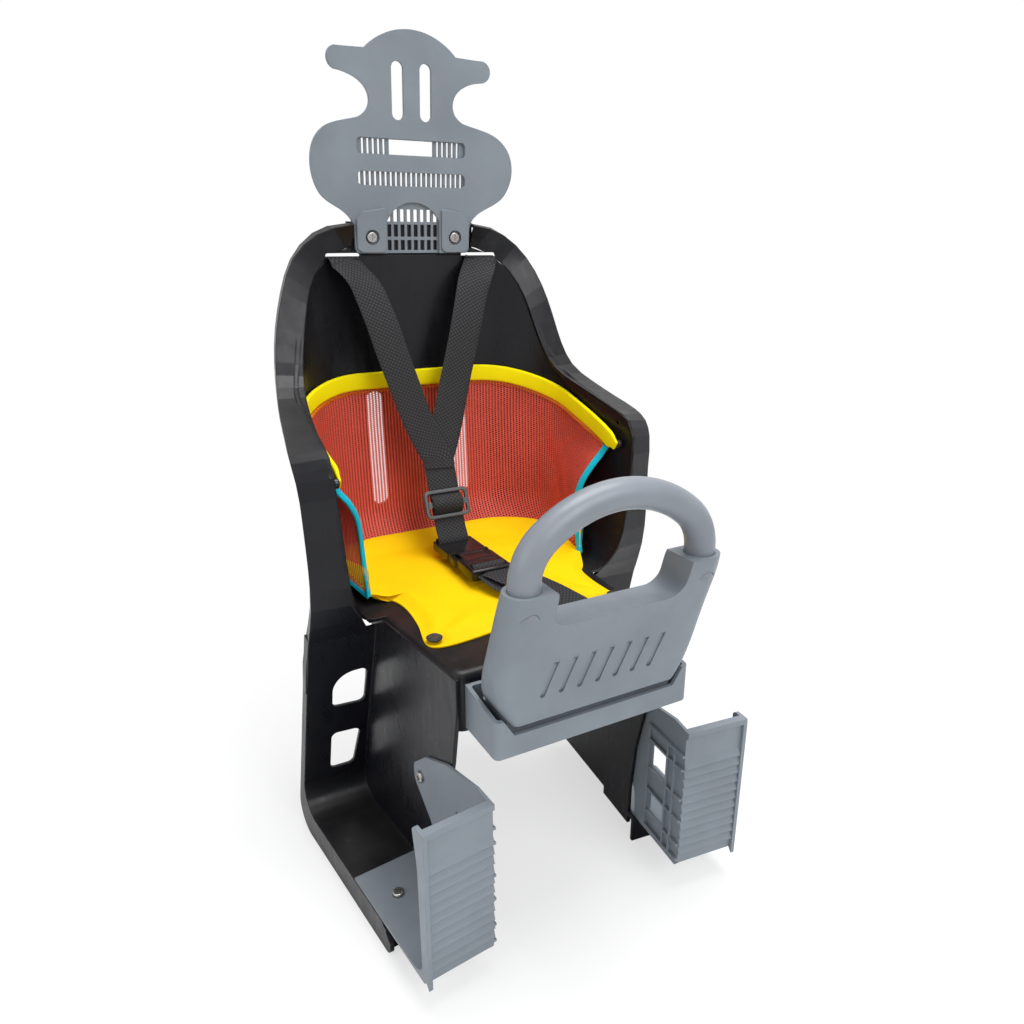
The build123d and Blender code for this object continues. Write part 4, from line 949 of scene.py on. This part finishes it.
@dataclass
class Harness:
    """Shoulder straps, adjuster, buckle and crotch strap."""

    finishes: Finishes
    layer: float = 0.0019
    keeper_size: Point = (0.050, 0.004, 0.009)
    keeper_at: Point = (0.083, 0.2109, 0.6231)
    shoulder_line: tuple[tuple[Point, Point, float], ...] = (
        ((0.0830, 0.2086, 0.6266), (1, -0.1, 0), 0),
        ((0.0830, 0.1980, 0.6266), (1, -0.1, 0), 0),
        ((0.0825, 0.1925, 0.6245), (1, -0.1, 0), 0),
        ((0.0800, 0.1900, 0.6190), (1, -0.1, 0.2), 0),
        ((0.0656, 0.1780, 0.5960), (1, 0, 0.4), 0),
        ((0.0540, 0.1700, 0.5610), (1, 0, 0.32), 0.3),
        ((0.0436, 0.1660, 0.5240), (1, 0, 0.3), 0.6),
        ((0.0320, 0.1620, 0.4850), (1, 0, 0.3), 1),
        ((0.0200, 0.1560, 0.4460), (1, 0, 0.25), 1),
        ((0.0090, 0.1496, 0.4180), (1, 0, 0.15), 1),
        ((0.0015, 0.1450, 0.4020), (1, 0, 0.05), 1),
        ((0.0015, 0.1412, 0.3900), (1, 0, 0), 1),
    )
    centre_line: tuple[Point, ...] = (
        (0.0, 0.1422, 0.3925),
        (0.0, 0.1320, 0.3660),
        (0.0, 0.1195, 0.3340),
        (0.0, 0.1115, 0.3190),
        (0.0, 0.1078, 0.3130),
        (0.0, 0.1062, 0.3080),
        (0.0, 0.1060, 0.3030),
        (0.0, 0.1060, 0.2990),
    )
    crotch_line: tuple[Point, ...] = (
        (0.0005, 0.0120, 0.3045),
        (0.0015, 0.0030, 0.3040),
        (0.0040, -0.0060, 0.3020),
        (0.0090, -0.0190, 0.2985),
        (0.0170, -0.0400, 0.2965),
        (0.0235, -0.0650, 0.2950),
        (0.0245, -0.0850, 0.2930),
        (0.0190, -0.1000, 0.2915),
        (0.0120, -0.1085, 0.2890),
        (0.0100, -0.1120, 0.2840),
        (0.0100, -0.1120, 0.2790),
    )
    tail_line: tuple[Point, ...] = (
        (0.0030, 0.0100, 0.3066),
        (0.0080, -0.0020, 0.3066),
        (0.0170, -0.0140, 0.3046),
        (0.0290, -0.0300, 0.3012),
        (0.0390, -0.0500, 0.2982),
        (0.0450, -0.0720, 0.2962),
        (0.0490, -0.0920, 0.2946),
        (0.0510, -0.1050, 0.2930),
    )
    slide_at: Point = (0.0, 0.12575, 0.3500)
    slide_run: Point = (0.0, -0.3639, -0.9315)
    slide_out: Point = (0.0, -0.9315, 0.3639)
    slide_bend: Outline = (
        (-0.0112, 0.0016), (-0.0092, 0.0034), (-0.0062, 0.0062), (-0.0030, 0.0076), (0.0, 0.0080),
        (0.0030, 0.0076), (0.0062, 0.0062), (0.0092, 0.0034), (0.0112, 0.0016),
    )

    def build(self) -> None:
        """Lay all straps and dress the harness's hard pieces."""
        webbing = Webbing(self.finishes)
        for side in Side:
            hand = side.value
            stations = [((hand * x, y + hand * self.layer * shift, z), (ax, hand * ay, hand * az))
                        for (x, y, z), (ax, ay, az), shift in self.shoulder_line]
            webbing.strap(f"shoulder_webbing_{side.word}", stations, [f"shoulder_strap_{side.word}"])
        for name, line, replaced in (("centre_webbing", self.centre_line, ["centre_strap"]),
                                     ("crotch_webbing", self.crotch_line, ["crotch_strap"]),
                                     ("strap_tail", self.tail_line, [])):
            webbing.strap(name, [(point, ACROSS) for point in line], replaced)
        self.slide_loop(webbing)
        self.keepers()
        Buckle(self.finishes).build(webbing)

    def keepers(self) -> None:
        """Model the bars behind the backrest that the shoulder straps hang on."""
        x, y, z = self.keeper_at
        bars = [block(f"strap_keeper_{side.word}", self.keeper_size, (side.value * x, y, z)) for side in Side]
        for bar in bars:
            bevel(bar, 0.0010, 2)
        whole = join(bars, "strap_keeper_bars")
        dress(whole, self.finishes.black, 40.0)
        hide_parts("strap_keepers")

    def slide_loop(self, webbing: Webbing) -> None:
        """Lay the webbing over the adjuster's bar.

        Args:
            webbing: Kind of strap.
        """
        centre, run, out = Vector(self.slide_at), Vector(self.slide_run), Vector(self.slide_out)
        stations = [(tuple(centre + run * along + out * away), ACROSS) for along, away in self.slide_bend]
        webbing.strap("adjuster_loop", stations, steps=3)


def block(name: str, size: Point, centre: Point) -> Piece:
    """Add a block with its place in its mesh.

    Args:
        name: Name of the block.
        size: Full sizes.
        centre: Its middle; Y is the drawing's own.

    Returns:
        The block.
    """
    deselect_all()
    spot = (centre[0], centre[1] + MIDDLE_Y, centre[2])
    bpy.ops.mesh.primitive_cube_add(size=1.0, location=spot, scale=size)
    piece = bpy.context.object
    piece.name = name
    bpy.ops.object.transform_apply(location=True, rotation=False, scale=True)
    return piece


def carve(piece: Piece, tool: Piece) -> None:
    """Cut one piece away from another and remove it."""
    apply_modifier(piece, "BOOLEAN", operation="DIFFERENCE", object=tool, solver="EXACT")
    bpy.data.objects.remove(tool)


@dataclass
class Buckle:
    """Side-release buckle: socket with ladder bars, release arms and the webbing wrapped through it."""

    finishes: Finishes
    wide: float = 0.048
    back: float = 0.0687
    long: float = 0.062
    thick: float = 0.013
    level: float = 0.305
    notch: float = 0.014
    bar_slots: tuple[float, ...] = (0.0137, 0.0227)
    grooves: tuple[float, ...] = (0.0325, 0.0365)
    arm_long: float = 0.0158
    arm_bulge: float = 0.0012
    loops: tuple[tuple[str, float, float], ...] = (
        ("socket_loop", 0.0182, 0.0046), ("tongue_loop", 0.1115, 0.0042),
    )
    loop_foot: float = 0.0018
    loop_high: float = 0.0062

    def socket(self) -> None:
        """Carve the socket from a block."""
        top = self.level + self.thick / 2
        piece = block("buckle_socket_body", (self.wide, self.long, self.thick),
                      (0.0, self.back - self.long / 2, self.level))
        bevel(piece, 0.0022, 3)
        cuts = [((0.014, 0.0165, 0.03), (hand * self.wide / 2, self.back - self.notch, self.level))
                for hand in (-1, 1)]
        cuts += [((0.039, 0.0050, 0.03), (0.0, y, self.level)) for y in self.bar_slots]
        cuts += [((0.042, 0.0245, 0.0056), (0.0, self.back - 0.0112, self.level))]
        cuts += [((0.036, 0.0014, 0.002), (0.0, y, top)) for y in self.grooves]
        cuts += [((0.030, 0.0170, 0.0012), (0.0, 0.0500, top))]
        for size, centre in cuts:
            carve(piece, block("cut", size, centre))
        bevel(piece, 0.0004, 2, 0.7)
        dress(piece, self.finishes.black, 30.0)
        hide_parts("buckle_socket")

    def arms(self) -> None:
        """Model the release arms that show in the socket's side notches."""
        middle = self.back - self.notch
        for side in Side:
            piece = block(f"release_arm_{side.word}", (0.0056, self.arm_long, 0.0094),
                          (side.value * 0.0213, middle, self.level))
            bpy.ops.object.mode_set(mode="EDIT")
            bpy.ops.mesh.select_all(action="SELECT")
            bpy.ops.mesh.subdivide(number_cuts=3)
            bpy.ops.object.mode_set(mode="OBJECT")
            for vertex in piece.data.vertices:
                along = (vertex.co.y - MIDDLE_Y - middle) / (self.arm_long / 2)
                vertex.co.x += side.value * self.arm_bulge * (1 - along * along)
            bevel(piece, 0.0010, 2, 0.9)
            dress(piece, self.finishes.black, 40.0)

    def wraps(self, webbing: Webbing) -> None:
        """Wrap the webbing round the socket's bar and the tongue's bar.

        Args:
            webbing: Kind of strap.
        """
        for name, y, reach in self.loops:
            stations = []
            for part in range(9):
                angle = math.radians(180 - 22.5 * part)
                height = self.level + self.loop_foot + self.loop_high * math.sin(angle)
                stations.append(((0.0, y + reach * math.cos(angle), height), ACROSS))
            webbing.strap(name, stations, steps=3)

    def build(self, webbing: Webbing) -> None:
        """Make the buckle's pieces.

        Args:
            webbing: Kind of strap.
        """
        self.socket()
        self.arms()
        self.wraps(webbing)


@dataclass
class SeatPad:
    """Cloth pad: yellow seat, red mesh sides and back, yellow binding, cyan tape at the front edges."""

    finishes: Finishes
    bucket: Bucket = field(default_factory=Bucket)
    foot: float = 0.2950
    back_low: float = 0.3020
    top_line: Outline = (
        (0.010, 0.4290), (0.024, 0.4385), (0.047, 0.4480), (0.073, 0.4570), (0.102, 0.4665),
        (0.134, 0.4765), (0.165, 0.4865), (0.190, 0.4955), (0.208, 0.5020),
    )
    front_line: tuple[Point, ...] = (
        (0.1298, 0.0345, 0.2950), (0.1300, 0.0381, 0.3110), (0.1301, 0.0429, 0.3268),
        (0.1303, 0.0461, 0.3434), (0.1315, 0.0453, 0.3614), (0.1351, 0.0414, 0.3801),
        (0.1436, 0.0363, 0.3977), (0.1546, 0.0332, 0.4123), (0.1600, 0.0290, 0.4240),
    )
    band_end: tuple[float, float] = (0.436, 0.020)
    band_thick: float = 0.0052
    band_high: float = 0.0195
    flap_low: float = 0.3180
    flap_tops: tuple[float, float] = (0.4210, 0.4250)
    flap_deep: float = 0.0280
    mesh_inset: float = 0.0025
    mesh_thick: float = 0.0010
    mesh_tuck: float = 0.004
    broad_wave: float = 0.0013
    fine_wave: float = 0.0022
    fold_step: float = 0.006
    pull_from: float = 0.58
    pull_power: float = 1.7
    seam_inset: float = 0.0035
    seam_share: float = 0.97
    seam_ends: tuple[float, float] = (0.0042, 0.0002)
    seam_stitches: int = 560
    loose_ends: tuple[float, float] = (0.030, 0.002)
    loose_fall: float = 0.45
    loose_stitches: int = 30
    tape_top: float = 0.4220
    tape_wide: float = 0.0070
    screw_at: Point = (0.103, -0.073, 0.2900)
    knob_at: Point = (0.1625, 0.0110, 0.4275)

    def __post_init__(self) -> None:
        """Smooth the line of the front edges."""
        line = smooth_line([Vector(point) for point in self.front_line], 6)
        self.across_table = [(point.z, point.x) for point in line]
        self.deep_table = [(point.z, point.y) for point in line]

    def front_edge(self, z: float, hand: int) -> Vector:
        """Point of a front edge at a height."""
        x, y = along_table(self.across_table, z), along_table(self.deep_table, z)
        return Vector((hand * x, y + MIDDLE_Y, z))

    def edge_run(self, z: float, inset: float) -> float:
        """Length along the wall from the middle of the back to the depth of the front edge at a height."""
        return self.bucket.run_to(z, along_table(self.deep_table, z), inset)

    def band_run(self, inset: float) -> float:
        """Length along the wall from the middle of the back to an end of the binding."""
        return self.bucket.run_to(*self.band_end, inset)

    def lining(self, z: float, share: float, away: float) -> Vector:
        """Point of the mesh: on the wall at the back, drawn inwards towards its front edges.

        Args:
            z: Height.
            share: From -1 at the left front edge to 1 at the right one.
            away: Distance inside the wall.

        Returns:
            The point.
        """
        hand = 1 if share >= 0 else -1
        reach = self.edge_run(z, away)
        point, _ = self.bucket.place(z, share * reach, away)
        wall, _ = self.bucket.place(z, hand * reach, away)
        pull = max(0.0, (abs(share) - self.pull_from) / (1 - self.pull_from)) ** self.pull_power
        return point + (self.front_edge(z, hand) - wall) * pull

    def top_at(self, share: float, inset: float, down: float = 0.0) -> tuple[float, float]:
        """Find the pad's top line at a share of the way from the middle to the edge.

        Args:
            share: From -1 at the left edge to 1 at the right.
            inset: Distance inside the wall.
            down: Distance below the line.

        Returns:
            Height of the line and length along the section there.
        """
        z, run = 0.48, share * self.band_run(inset)
        for _ in range(12):
            y = self.bucket.place(z, run, inset)[0].y - MIDDLE_Y
            z = along_table(self.top_line, y)
        return z - down, run

    def low_at(self, share: float) -> float:
        """Height of the mesh's lower edge at a share of the way from the middle to the front edge."""
        return self.back_low + (self.foot - self.back_low) * ease((abs(share) - 0.55) / 0.45)

    def flap_point(self, level: float, out: float, hand: int) -> Vector:
        """Point of the flap that is turned back from a front edge to the wall.

        Args:
            level: From 0 at the foot to 1 at the top.
            out: From 0 at the front edge to 1 at the wall.
            hand: Side of the seat.

        Returns:
            The point.
        """
        edge_top, wall_top = self.flap_tops
        edge = self.front_edge(self.foot + (edge_top - self.foot) * level, hand)
        z = self.flap_low + (wall_top - self.flap_low) * level
        run = self.bucket.run_to(z, edge.y - MIDDLE_Y + self.flap_deep, 0.003)
        wall, _ = self.bucket.place(z, hand * run, 0.003)
        return edge.lerp(wall, out)

    def mesh(self) -> None:
        """Stretch the mesh over the back and sides of the bucket and turn its flaps back."""
        inset, columns, rows, folds = self.mesh_inset, 120, 44, 6
        points, marks = [], []
        shares = [-1 + 2 * j / columns for j in range(columns + 1)]
        tops = [self.top_at(share, inset, self.band_high - self.mesh_tuck)[0] for share in shares]
        for i in range(rows + 1):
            level = (i / rows) ** 1.15
            row, mark = [], []
            for share, top in zip(shares, tops):
                z = self.low_at(share) + (top - self.low_at(share)) * level
                run = share * self.edge_run(z, inset)
                wave = self.fine_wave * noise.noise(Vector((run * 38 + z * 22, z * 6, 2.0)))
                wave *= ease((abs(share) - 0.25) / 0.4)
                wave += self.broad_wave * noise.noise(Vector((run * 13, z * 7, 0.3)))
                hold = ease((1 - abs(share)) / 0.06) * ease(level * 8) * ease((1 - level) * 8)
                row.append(self.lining(z, share, inset + 0.0012 + 0.0008 * hold + wave * hold))
                mark.append((run, z))
            left, right = ([self.flap_point(level, k / folds, hand) for k in range(1, folds + 1)]
                           for hand in (-1, 1))
            points.append(left[::-1] + row + right)
            (start, start_z), (end, end_z) = mark[0], mark[-1]
            marks.append([(start - self.fold_step * k, start_z) for k in range(folds, 0, -1)] + mark
                         + [(end + self.fold_step * k, end_z) for k in range(1, folds + 1)])
        piece = surface("mesh_back", points, marks)
        apply_modifier(piece, "SOLIDIFY", thickness=self.mesh_thick, offset=0.0)
        dress(piece, self.finishes.mesh, 60.0)
        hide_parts("pad_mesh")
        wide = 2 * self.edge_run(0.38, inset) + 0.07

    def thread(self, name: str, stitches: Sequence[Vector], size: float,
               material: bpy.types.Material) -> None:
        """Sew a row of stitches.

        Args:
            name: Name of the piece.
            stitches: Ends of the stitches in order.
            size: Half the thread's thickness.
            material: Finish of the thread.
        """
        line = bpy.data.curves.new(name, "CURVE")
        line.dimensions = "3D"
        line.bevel_depth = size
        line.bevel_resolution = 1
        seam = line.splines.new("POLY")
        seam.points.add(len(stitches) - 1)
        for spot, end in zip(seam.points, stitches):
            spot.co = (*end, 1.0)
        activate(link(name, line))
        bpy.ops.object.convert(target="MESH")
        dress(bpy.context.object, material, 60.0)

    def stitches(self) -> None:
        """Sew the overlock seam under the binding and the loose stitches along the flaps' feet."""
        seam = []
        for i in range(self.seam_stitches + 1):
            share = self.seam_share * (2 * i / self.seam_stitches - 1)
            z, _ = self.top_at(share, self.seam_inset, self.band_high + self.seam_ends[i % 2])
            reach = self.band_run(self.seam_inset) / self.edge_run(z, self.seam_inset)
            seam.append(self.lining(z, max(-1.0, min(1.0, share * reach)), 0.0066))
        self.thread("overlock_seam", seam, 0.00060, self.finishes.orange_thread)
        for side in Side:
            hand, loose = side.value, []
            for i in range(self.loose_stitches + 1):
                out = i / self.loose_stitches
                rise = self.loose_ends[i % 2] * (1 if i % 2 else 1 - self.loose_fall * out)
                loose.append(self.flap_point(0.0, out, hand) + Vector((-hand * 0.0011, -0.0009, rise)))
            self.thread(f"flap_stitches_{side.word}", loose, 0.0004, self.finishes.yellow_thread)

    def binding(self) -> None:
        """Run the yellow binding along the pad's top edge."""
        count, inset = 150, 0.0012 + self.band_thick / 2
        points, inwards = [], []
        for i in range(count + 1):
            share = -1 + 2 * i / count
            z, run = self.top_at(share, inset, self.band_high / 2)
            push = 0.0006 * math.sin(run * 90) + 0.0008 * noise.noise(Vector((run * 60, 1.7, 0.2)))
            push += 0.0045 * ease((abs(share) - 0.82) / 0.18)
            point, inward = self.bucket.place(z, run, inset + 0.0006 + push)
            points.append(point)
            inwards.append(inward)
        frames = []
        for i, (point, inward) in enumerate(zip(points, inwards)):
            up = inward.cross(heading(points, i))
            frames.append((point, inward, -up if up.z < 0 else up))

        def swell(share: float) -> float:
            """Full along the band, drawn together at its ends."""
            return 0.55 + 0.45 * ease(min(share, 1 - share) / 0.02)

        outline = round_bar(self.band_thick, self.band_high, self.band_thick * 0.48, 4)
        piece = Sweep(outline).build("binding_band", frames, swell)
        dress(piece, self.finishes.band, 60.0)
        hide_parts("pad_binding")

    def tapes(self) -> None:
        """Fold the cyan tapes over the mesh's front edges and along the flaps' feet."""
        edge_outline = round_bar(self.tape_wide, 0.0028, 0.0012)
        end_outline = round_bar(0.0055, 0.0016, 0.0006, 2)
        for side in Side:
            hand, count = side.value, 60
            inward = Vector((-hand * 0.72, -0.69, 0.0)).normalized()
            line = [self.front_edge(self.foot - 0.0005 + (self.tape_top - self.foot) * i / count, hand)
                    for i in range(count + 1)]
            piece = Sweep(edge_outline).build(f"cyan_tape_{side.word}", self.flat_frames(line, inward))
            dress(piece, self.finishes.cyan, 50.0)
            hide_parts(f"pad_piping_{side.word}")
            foot = [self.flap_point(0.0, k / 10, hand) - Vector((0, 0, 0.0012)) for k in range(11)]
            facing = Vector((hand * 0.5, -0.86, 0.0))
            tail = Sweep(end_outline).build(f"tape_end_{side.word}", self.flat_frames(foot, facing))
            dress(tail, self.finishes.cyan, 50.0)

    @staticmethod
    def flat_frames(line: Sequence[Vector], inward: Vector) -> list[tuple[Vector, Vector, Vector]]:
        """Turn a line into stations of a flat band that faces one way.

        Args:
            line: Points of the line.
            inward: Direction that the band faces.

        Returns:
            Centre, direction of the width and direction of the thickness of each station.
        """
        frames = []
        for i, point in enumerate(line):
            run = heading(line, i)
            wide = inward.cross(run).normalized()
            frames.append((point, wide, wide.cross(run)))
        return frames

    def fastenings(self) -> None:
        """Put the elastic rings round the pad screws and the knobs at the binding's ends."""
        knobs = []
        for side in Side:
            ring_spot, knob_spot = (Vector((side.value * x, y + MIDDLE_Y, z))
                                    for x, y, z in (self.screw_at, self.knob_at))
            deselect_all()
            bpy.ops.mesh.primitive_torus_add(location=ring_spot, major_radius=0.0066, minor_radius=0.0012,
                                             major_segments=40, minor_segments=10)
            ring = bpy.context.object
            ring.name = f"screw_ring_{side.word}"
            bpy.ops.object.transform_apply(location=True, rotation=True, scale=True)
            for vertex in ring.data.vertices:
                vertex.co.z += 0.0007 * noise.noise(vertex.co * 90.0)
            dress(ring, self.finishes.black_elastic, 60.0)
            deselect_all()
            bpy.ops.mesh.primitive_cylinder_add(vertices=32, radius=0.0050, depth=0.0060, location=knob_spot,
                                                rotation=(0.0, math.radians(90), 0.0))
            knobs.append(bpy.context.object)
            bpy.ops.object.transform_apply(location=True, rotation=True, scale=True)
            bevel(knobs[-1], 0.0016, 3)
        whole = join(knobs, "band_knobs")
        dress(whole, self.finishes.black, 60.0)
        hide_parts("pad_buttons")

    def build(self) -> None:
        """Make all cloth of the pad."""
        self.mesh()
        self.binding()
        self.stitches()
        self.tapes()
        self.fastenings()
        SeatCloth(self.finishes, self).build()


@dataclass
class SeatCloth:
    """Yellow cloth over the seat pan: lightly padded, turned up at the back, screwed at its front corners."""

    finishes: Finishes
    pad: SeatPad
    pan_top: float = 0.284
    thick: float = 0.0060
    edge_thick: float = 0.0014
    screw_thick: float = 0.0022
    least_thick: float = 0.0012
    swell_high: float = 0.0012
    fold_high: float = 0.0022
    drape_high: float = 0.0010
    side_edge: dict[Side, Outline] = field(default_factory=lambda: {
        Side.LEFT: ((0.1160, 0.0400), (0.1065, 0.0340), (0.1010, 0.0160), (0.1005, -0.0060),
                    (0.1035, -0.0340), (0.1080, -0.0530), (0.1115, -0.0700), (0.1100, -0.0795),
                    (0.1040, -0.0845), (0.0900, -0.0865), (0.0720, -0.0850), (0.0440, -0.0810),
                    (0.0200, -0.0775)),
        Side.RIGHT: ((0.1240, 0.0180), (0.1155, 0.0080), (0.1120, -0.0020), (0.1095, -0.0200),
                     (0.1085, -0.0395), (0.1090, -0.0550), (0.1110, -0.0700), (0.1095, -0.0795),
                     (0.1035, -0.0845), (0.0900, -0.0860), (0.0720, -0.0845), (0.0440, -0.0800),
                     (0.0200, -0.0770)),
    })

    def rim(self, count: int) -> list[Vector]:
        """Outline of the cloth, closed, in even steps, each point at the height of what it lies on.

        Args:
            count: Number of points.

        Returns:
            The points, with Y as the drawing's own.
        """
        back = []
        for part in range(-14, 15):
            share = part / 14
            z = self.pad.low_at(share)
            point = self.pad.lining(z, share, 0.0034)
            back.append(Vector((point.x, point.y - MIDDLE_Y, z)))
        right = [Vector((x, y, self.pan_top)) for x, y in self.side_edge[Side.RIGHT]]
        left = [Vector((-x, y, self.pan_top)) for x, y in reversed(self.side_edge[Side.LEFT])]
        line = smooth_line(back + right + left + back[:1], 5)
        lengths = [0.0]
        for a, b in zip(line, line[1:]):
            lengths.append(lengths[-1] + (b - a).length)
        points, at = [], 0
        for i in range(count):
            goal = lengths[-1] * i / count
            while lengths[at + 1] < goal:
                at += 1
            part = (goal - lengths[at]) / max(1e-9, lengths[at + 1] - lengths[at])
            points.append(line[at].lerp(line[at + 1], part))
        return points

    def height(self, x: float, y: float, inner: float) -> float:
        """Height of the upper face above what the cloth lies on.

        Args:
            x: Place across.
            y: Place along.
            inner: From 0 at the edge to 1 at the middle.

        Returns:
            The height.
        """
        rise = self.edge_thick + (self.thick - self.edge_thick) * ease(inner * 7)
        swell = self.swell_high * noise.noise(Vector((x * 16, y * 16, 0.5)))
        folds = 0.0
        screw_x, screw_y, _ = self.pad.screw_at
        for hand in (-1, 1):
            dx, dy = x - hand * screw_x, y - screw_y
            far = math.hypot(dx, dy)
            waves = math.sin(8 * math.atan2(dy, -hand * dx) + 1.2 * hand)
            folds += self.fold_high * waves * ease((far - 0.008) / 0.02) * math.exp(-far / 0.07)
            rise -= (self.thick - self.screw_thick) * (1 - ease((far - 0.0065) / 0.012))
        drape = self.drape_high * math.sin(x * 60 + y * 45 + 2.5 * noise.noise(Vector((x * 9, y * 9, 1))))
        return max(self.least_thick, rise + (swell + folds + drape) * ease(inner * 5))

    def build(self) -> None:
        """Make the cloth as a closed, lightly padded form."""
        count, rings = 220, 30
        rim = self.rim(count)
        centre = Vector((0, 0.030, self.pan_top))
        rows, marks, under = [], [], []
        for k in range(rings + 1):
            share = 1 - (k / rings) ** 1.25 * 0.985
            row, mark, low = [], [], []
            for point in rim:
                spot = centre.lerp(Vector((point.x, point.y, 0)), share)
                lift = (point.z - self.pan_top) * ease((share - 0.80) / 0.20) ** 1.6
                base = self.pan_top + 0.0006 + lift
                high = base + self.height(spot.x, spot.y, 1 - share)
                row.append(Vector((spot.x, spot.y + MIDDLE_Y, high)))
                low.append(Vector((spot.x, spot.y + MIDDLE_Y, base)))
                mark.append((spot.x, spot.y))
            rows.append(row)
            under.append(low)
            marks.append(mark + mark[:1])
        piece = surface("seat_cloth", under[::-1] + rows, marks[::-1] + marks, ring=True, caps=True)
        dress(piece, self.finishes.yellow, 60.0)
        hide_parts("pad_seat")


@dataclass
class HardPieces:
    """Moulded and metal nodes that keep their shape and take their finish."""

    nodes: dict[str, Piece]
    finishes: Finishes

    def build(self) -> None:
        """Give every kept node its finish."""
        kept = {
            self.finishes.shell: ("seat_shell",),
            self.finishes.grey: ("headrest_plate", "headrest_grille", "handle_tray", "handle_body",
                                 "foot_guard_right", "foot_guard_left"),
            self.finishes.tube: ("handle_arch",),
            self.finishes.dark_grey: ("strap_adjuster",),
            self.finishes.black: ("buckle_tongue", "crotch_strap_bar"),
            self.finishes.steel: ("headrest_screws", "headrest_nuts", "tray_screws", "tray_nuts",
                                  "handle_screws", "guard_wall_screws", "guard_floor_screws", "guard_nuts",
                                  "pad_screws"),
        }
        for material, names in kept.items():
            for name in names:
                mesh = self.nodes[name].data
                mesh.materials.clear()
                mesh.materials.append(material)
                LOG.info("node %s: %s", name, material.name)


@dataclass
class Studio:
    """Pale floor, soft light, white surroundings and the camera."""

    camera_at: Point = (-0.360, -0.68783, 0.6419)
    camera_along: Point = (0.4534, 0.8316, -0.3206)
    lens: float = 27.97
    aim_high: float = 0.42
    lamp_size: float = 1.8
    floor_radius: float = 4.0
    floor_fade: tuple[float, float] = (0.35, 1.1)
    lamps: tuple[tuple[str, Point, float], ...] = (
        ("front_key", (0.5, -2.3, 2.1), 44.0),
        ("left_fill", (-2.2, -0.6, 1.5), 16.0),
        ("top_soft", (0.3, 0.0, 2.8), 62.0),
    )
    fill: float = 0.46
    fill_colour: Colour = (0.98, 0.99, 1.0)

    def world(self) -> None:
        """White to the camera, in reflections and through glass; a plain fill to all else."""
        world = bpy.data.worlds.new("studio")
        bpy.context.scene.world = world
        world.use_nodes = True
        graph = Graph(world.node_tree)
        rays = graph.add("ShaderNodeLightPath").outputs
        direct = graph.math("MAXIMUM", rays["Is Camera Ray"], rays["Is Glossy Ray"])
        mix = graph.add("ShaderNodeMixShader")
        graph.join(graph.math("MAXIMUM", direct, rays["Is Transmission Ray"]), mix.inputs[0])
        for index, colour, strength in ((1, self.fill_colour, self.fill), (2, (1.0, 1.0, 1.0), 1.0)):
            light = graph.add("ShaderNodeBackground")
            graph.feed(light.inputs["Color"], colour)
            graph.feed(light.inputs["Strength"], strength)
            graph.join(light.outputs[0], mix.inputs[index])
        graph.join(mix.outputs[0], graph.add("ShaderNodeOutputWorld").inputs["Surface"])

    def floor(self) -> None:
        """Round pale floor that fades into the white surroundings."""
        deselect_all()
        bpy.ops.mesh.primitive_circle_add(vertices=96, radius=self.floor_radius, fill_type="NGON",
                                          location=(0, 0, 0))
        floor = bpy.context.object
        floor.name = "floor"
        graph = SurfaceGraph("floor_white")
        floor.data.materials.append(graph.done({
            "Base Color": (0.9, 0.9, 0.9), "Roughness": 0.9, "Specular IOR Level": 0.1}))
        glow = graph.add("ShaderNodeEmission")
        graph.feed(glow.inputs["Strength"], 1.0)
        length = graph.add("ShaderNodeVectorMath", operation="LENGTH")
        graph.join(graph.place(), length.inputs[0])
        away = graph.spread(length.outputs["Value"], *self.floor_fade, 0.62, 1.0)
        rays = graph.add("ShaderNodeLightPath").outputs
        seen = graph.math("MAXIMUM", rays["Is Camera Ray"], rays["Is Transmission Ray"])
        mix = graph.add("ShaderNodeMixShader")
        for index, socket in enumerate((graph.times(away, seen), graph.shader.outputs[0], glow.outputs[0])):
            graph.join(socket, mix.inputs[index])
        graph.join(mix.outputs[0], graph.output.inputs["Surface"])

    @staticmethod
    def stand(name: str, data: bpy.types.ID, place: Point, along: Vector) -> Piece:
        """Stand a lamp or a camera.

        Args:
            name: Name of the object.
            data: Lamp or camera data.
            place: Where it stands.
            along: Direction that it looks in.

        Returns:
            The new object.
        """
        stood = link(name, data)
        stood.location = place
        stood.rotation_mode = "QUATERNION"
        stood.rotation_quaternion = along.to_track_quat("-Z", "Y")
        return stood

    def lights(self) -> None:
        """Hang the soft boxes, each turned to the seat."""
        for name, place, power in self.lamps:
            data = bpy.data.lights.new(name, "AREA")
            data.shape = "DISK"
            data.size = self.lamp_size
            data.energy = power
            self.stand(name, data, place, Vector((0, 0, self.aim_high)) - Vector(place))

    def camera(self) -> None:
        """Stand the camera where the photograph was taken from."""
        data = bpy.data.cameras.new("camera")
        data.lens = self.lens
        data.sensor_width = 36.0
        bpy.context.scene.camera = self.stand("camera", data, self.camera_at, Vector(self.camera_along))

    def build(self) -> None:
        """Set up everything round the seat."""
        self.camera()
        self.world()
        self.floor()
        self.lights()
        bpy.context.scene.view_settings.view_transform = "Standard"


def main() -> None:
    """Build the seat's looks in order."""
    logging.basicConfig(level=logging.INFO, format="%(message)s")
    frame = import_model()
    Studio().build()
    finishes = Finishes()
    HardPieces(frame["nodes"], finishes).build()
    Harness(finishes).build()
    SeatPad(finishes).build()


if __name__ == "__main__":
    main()
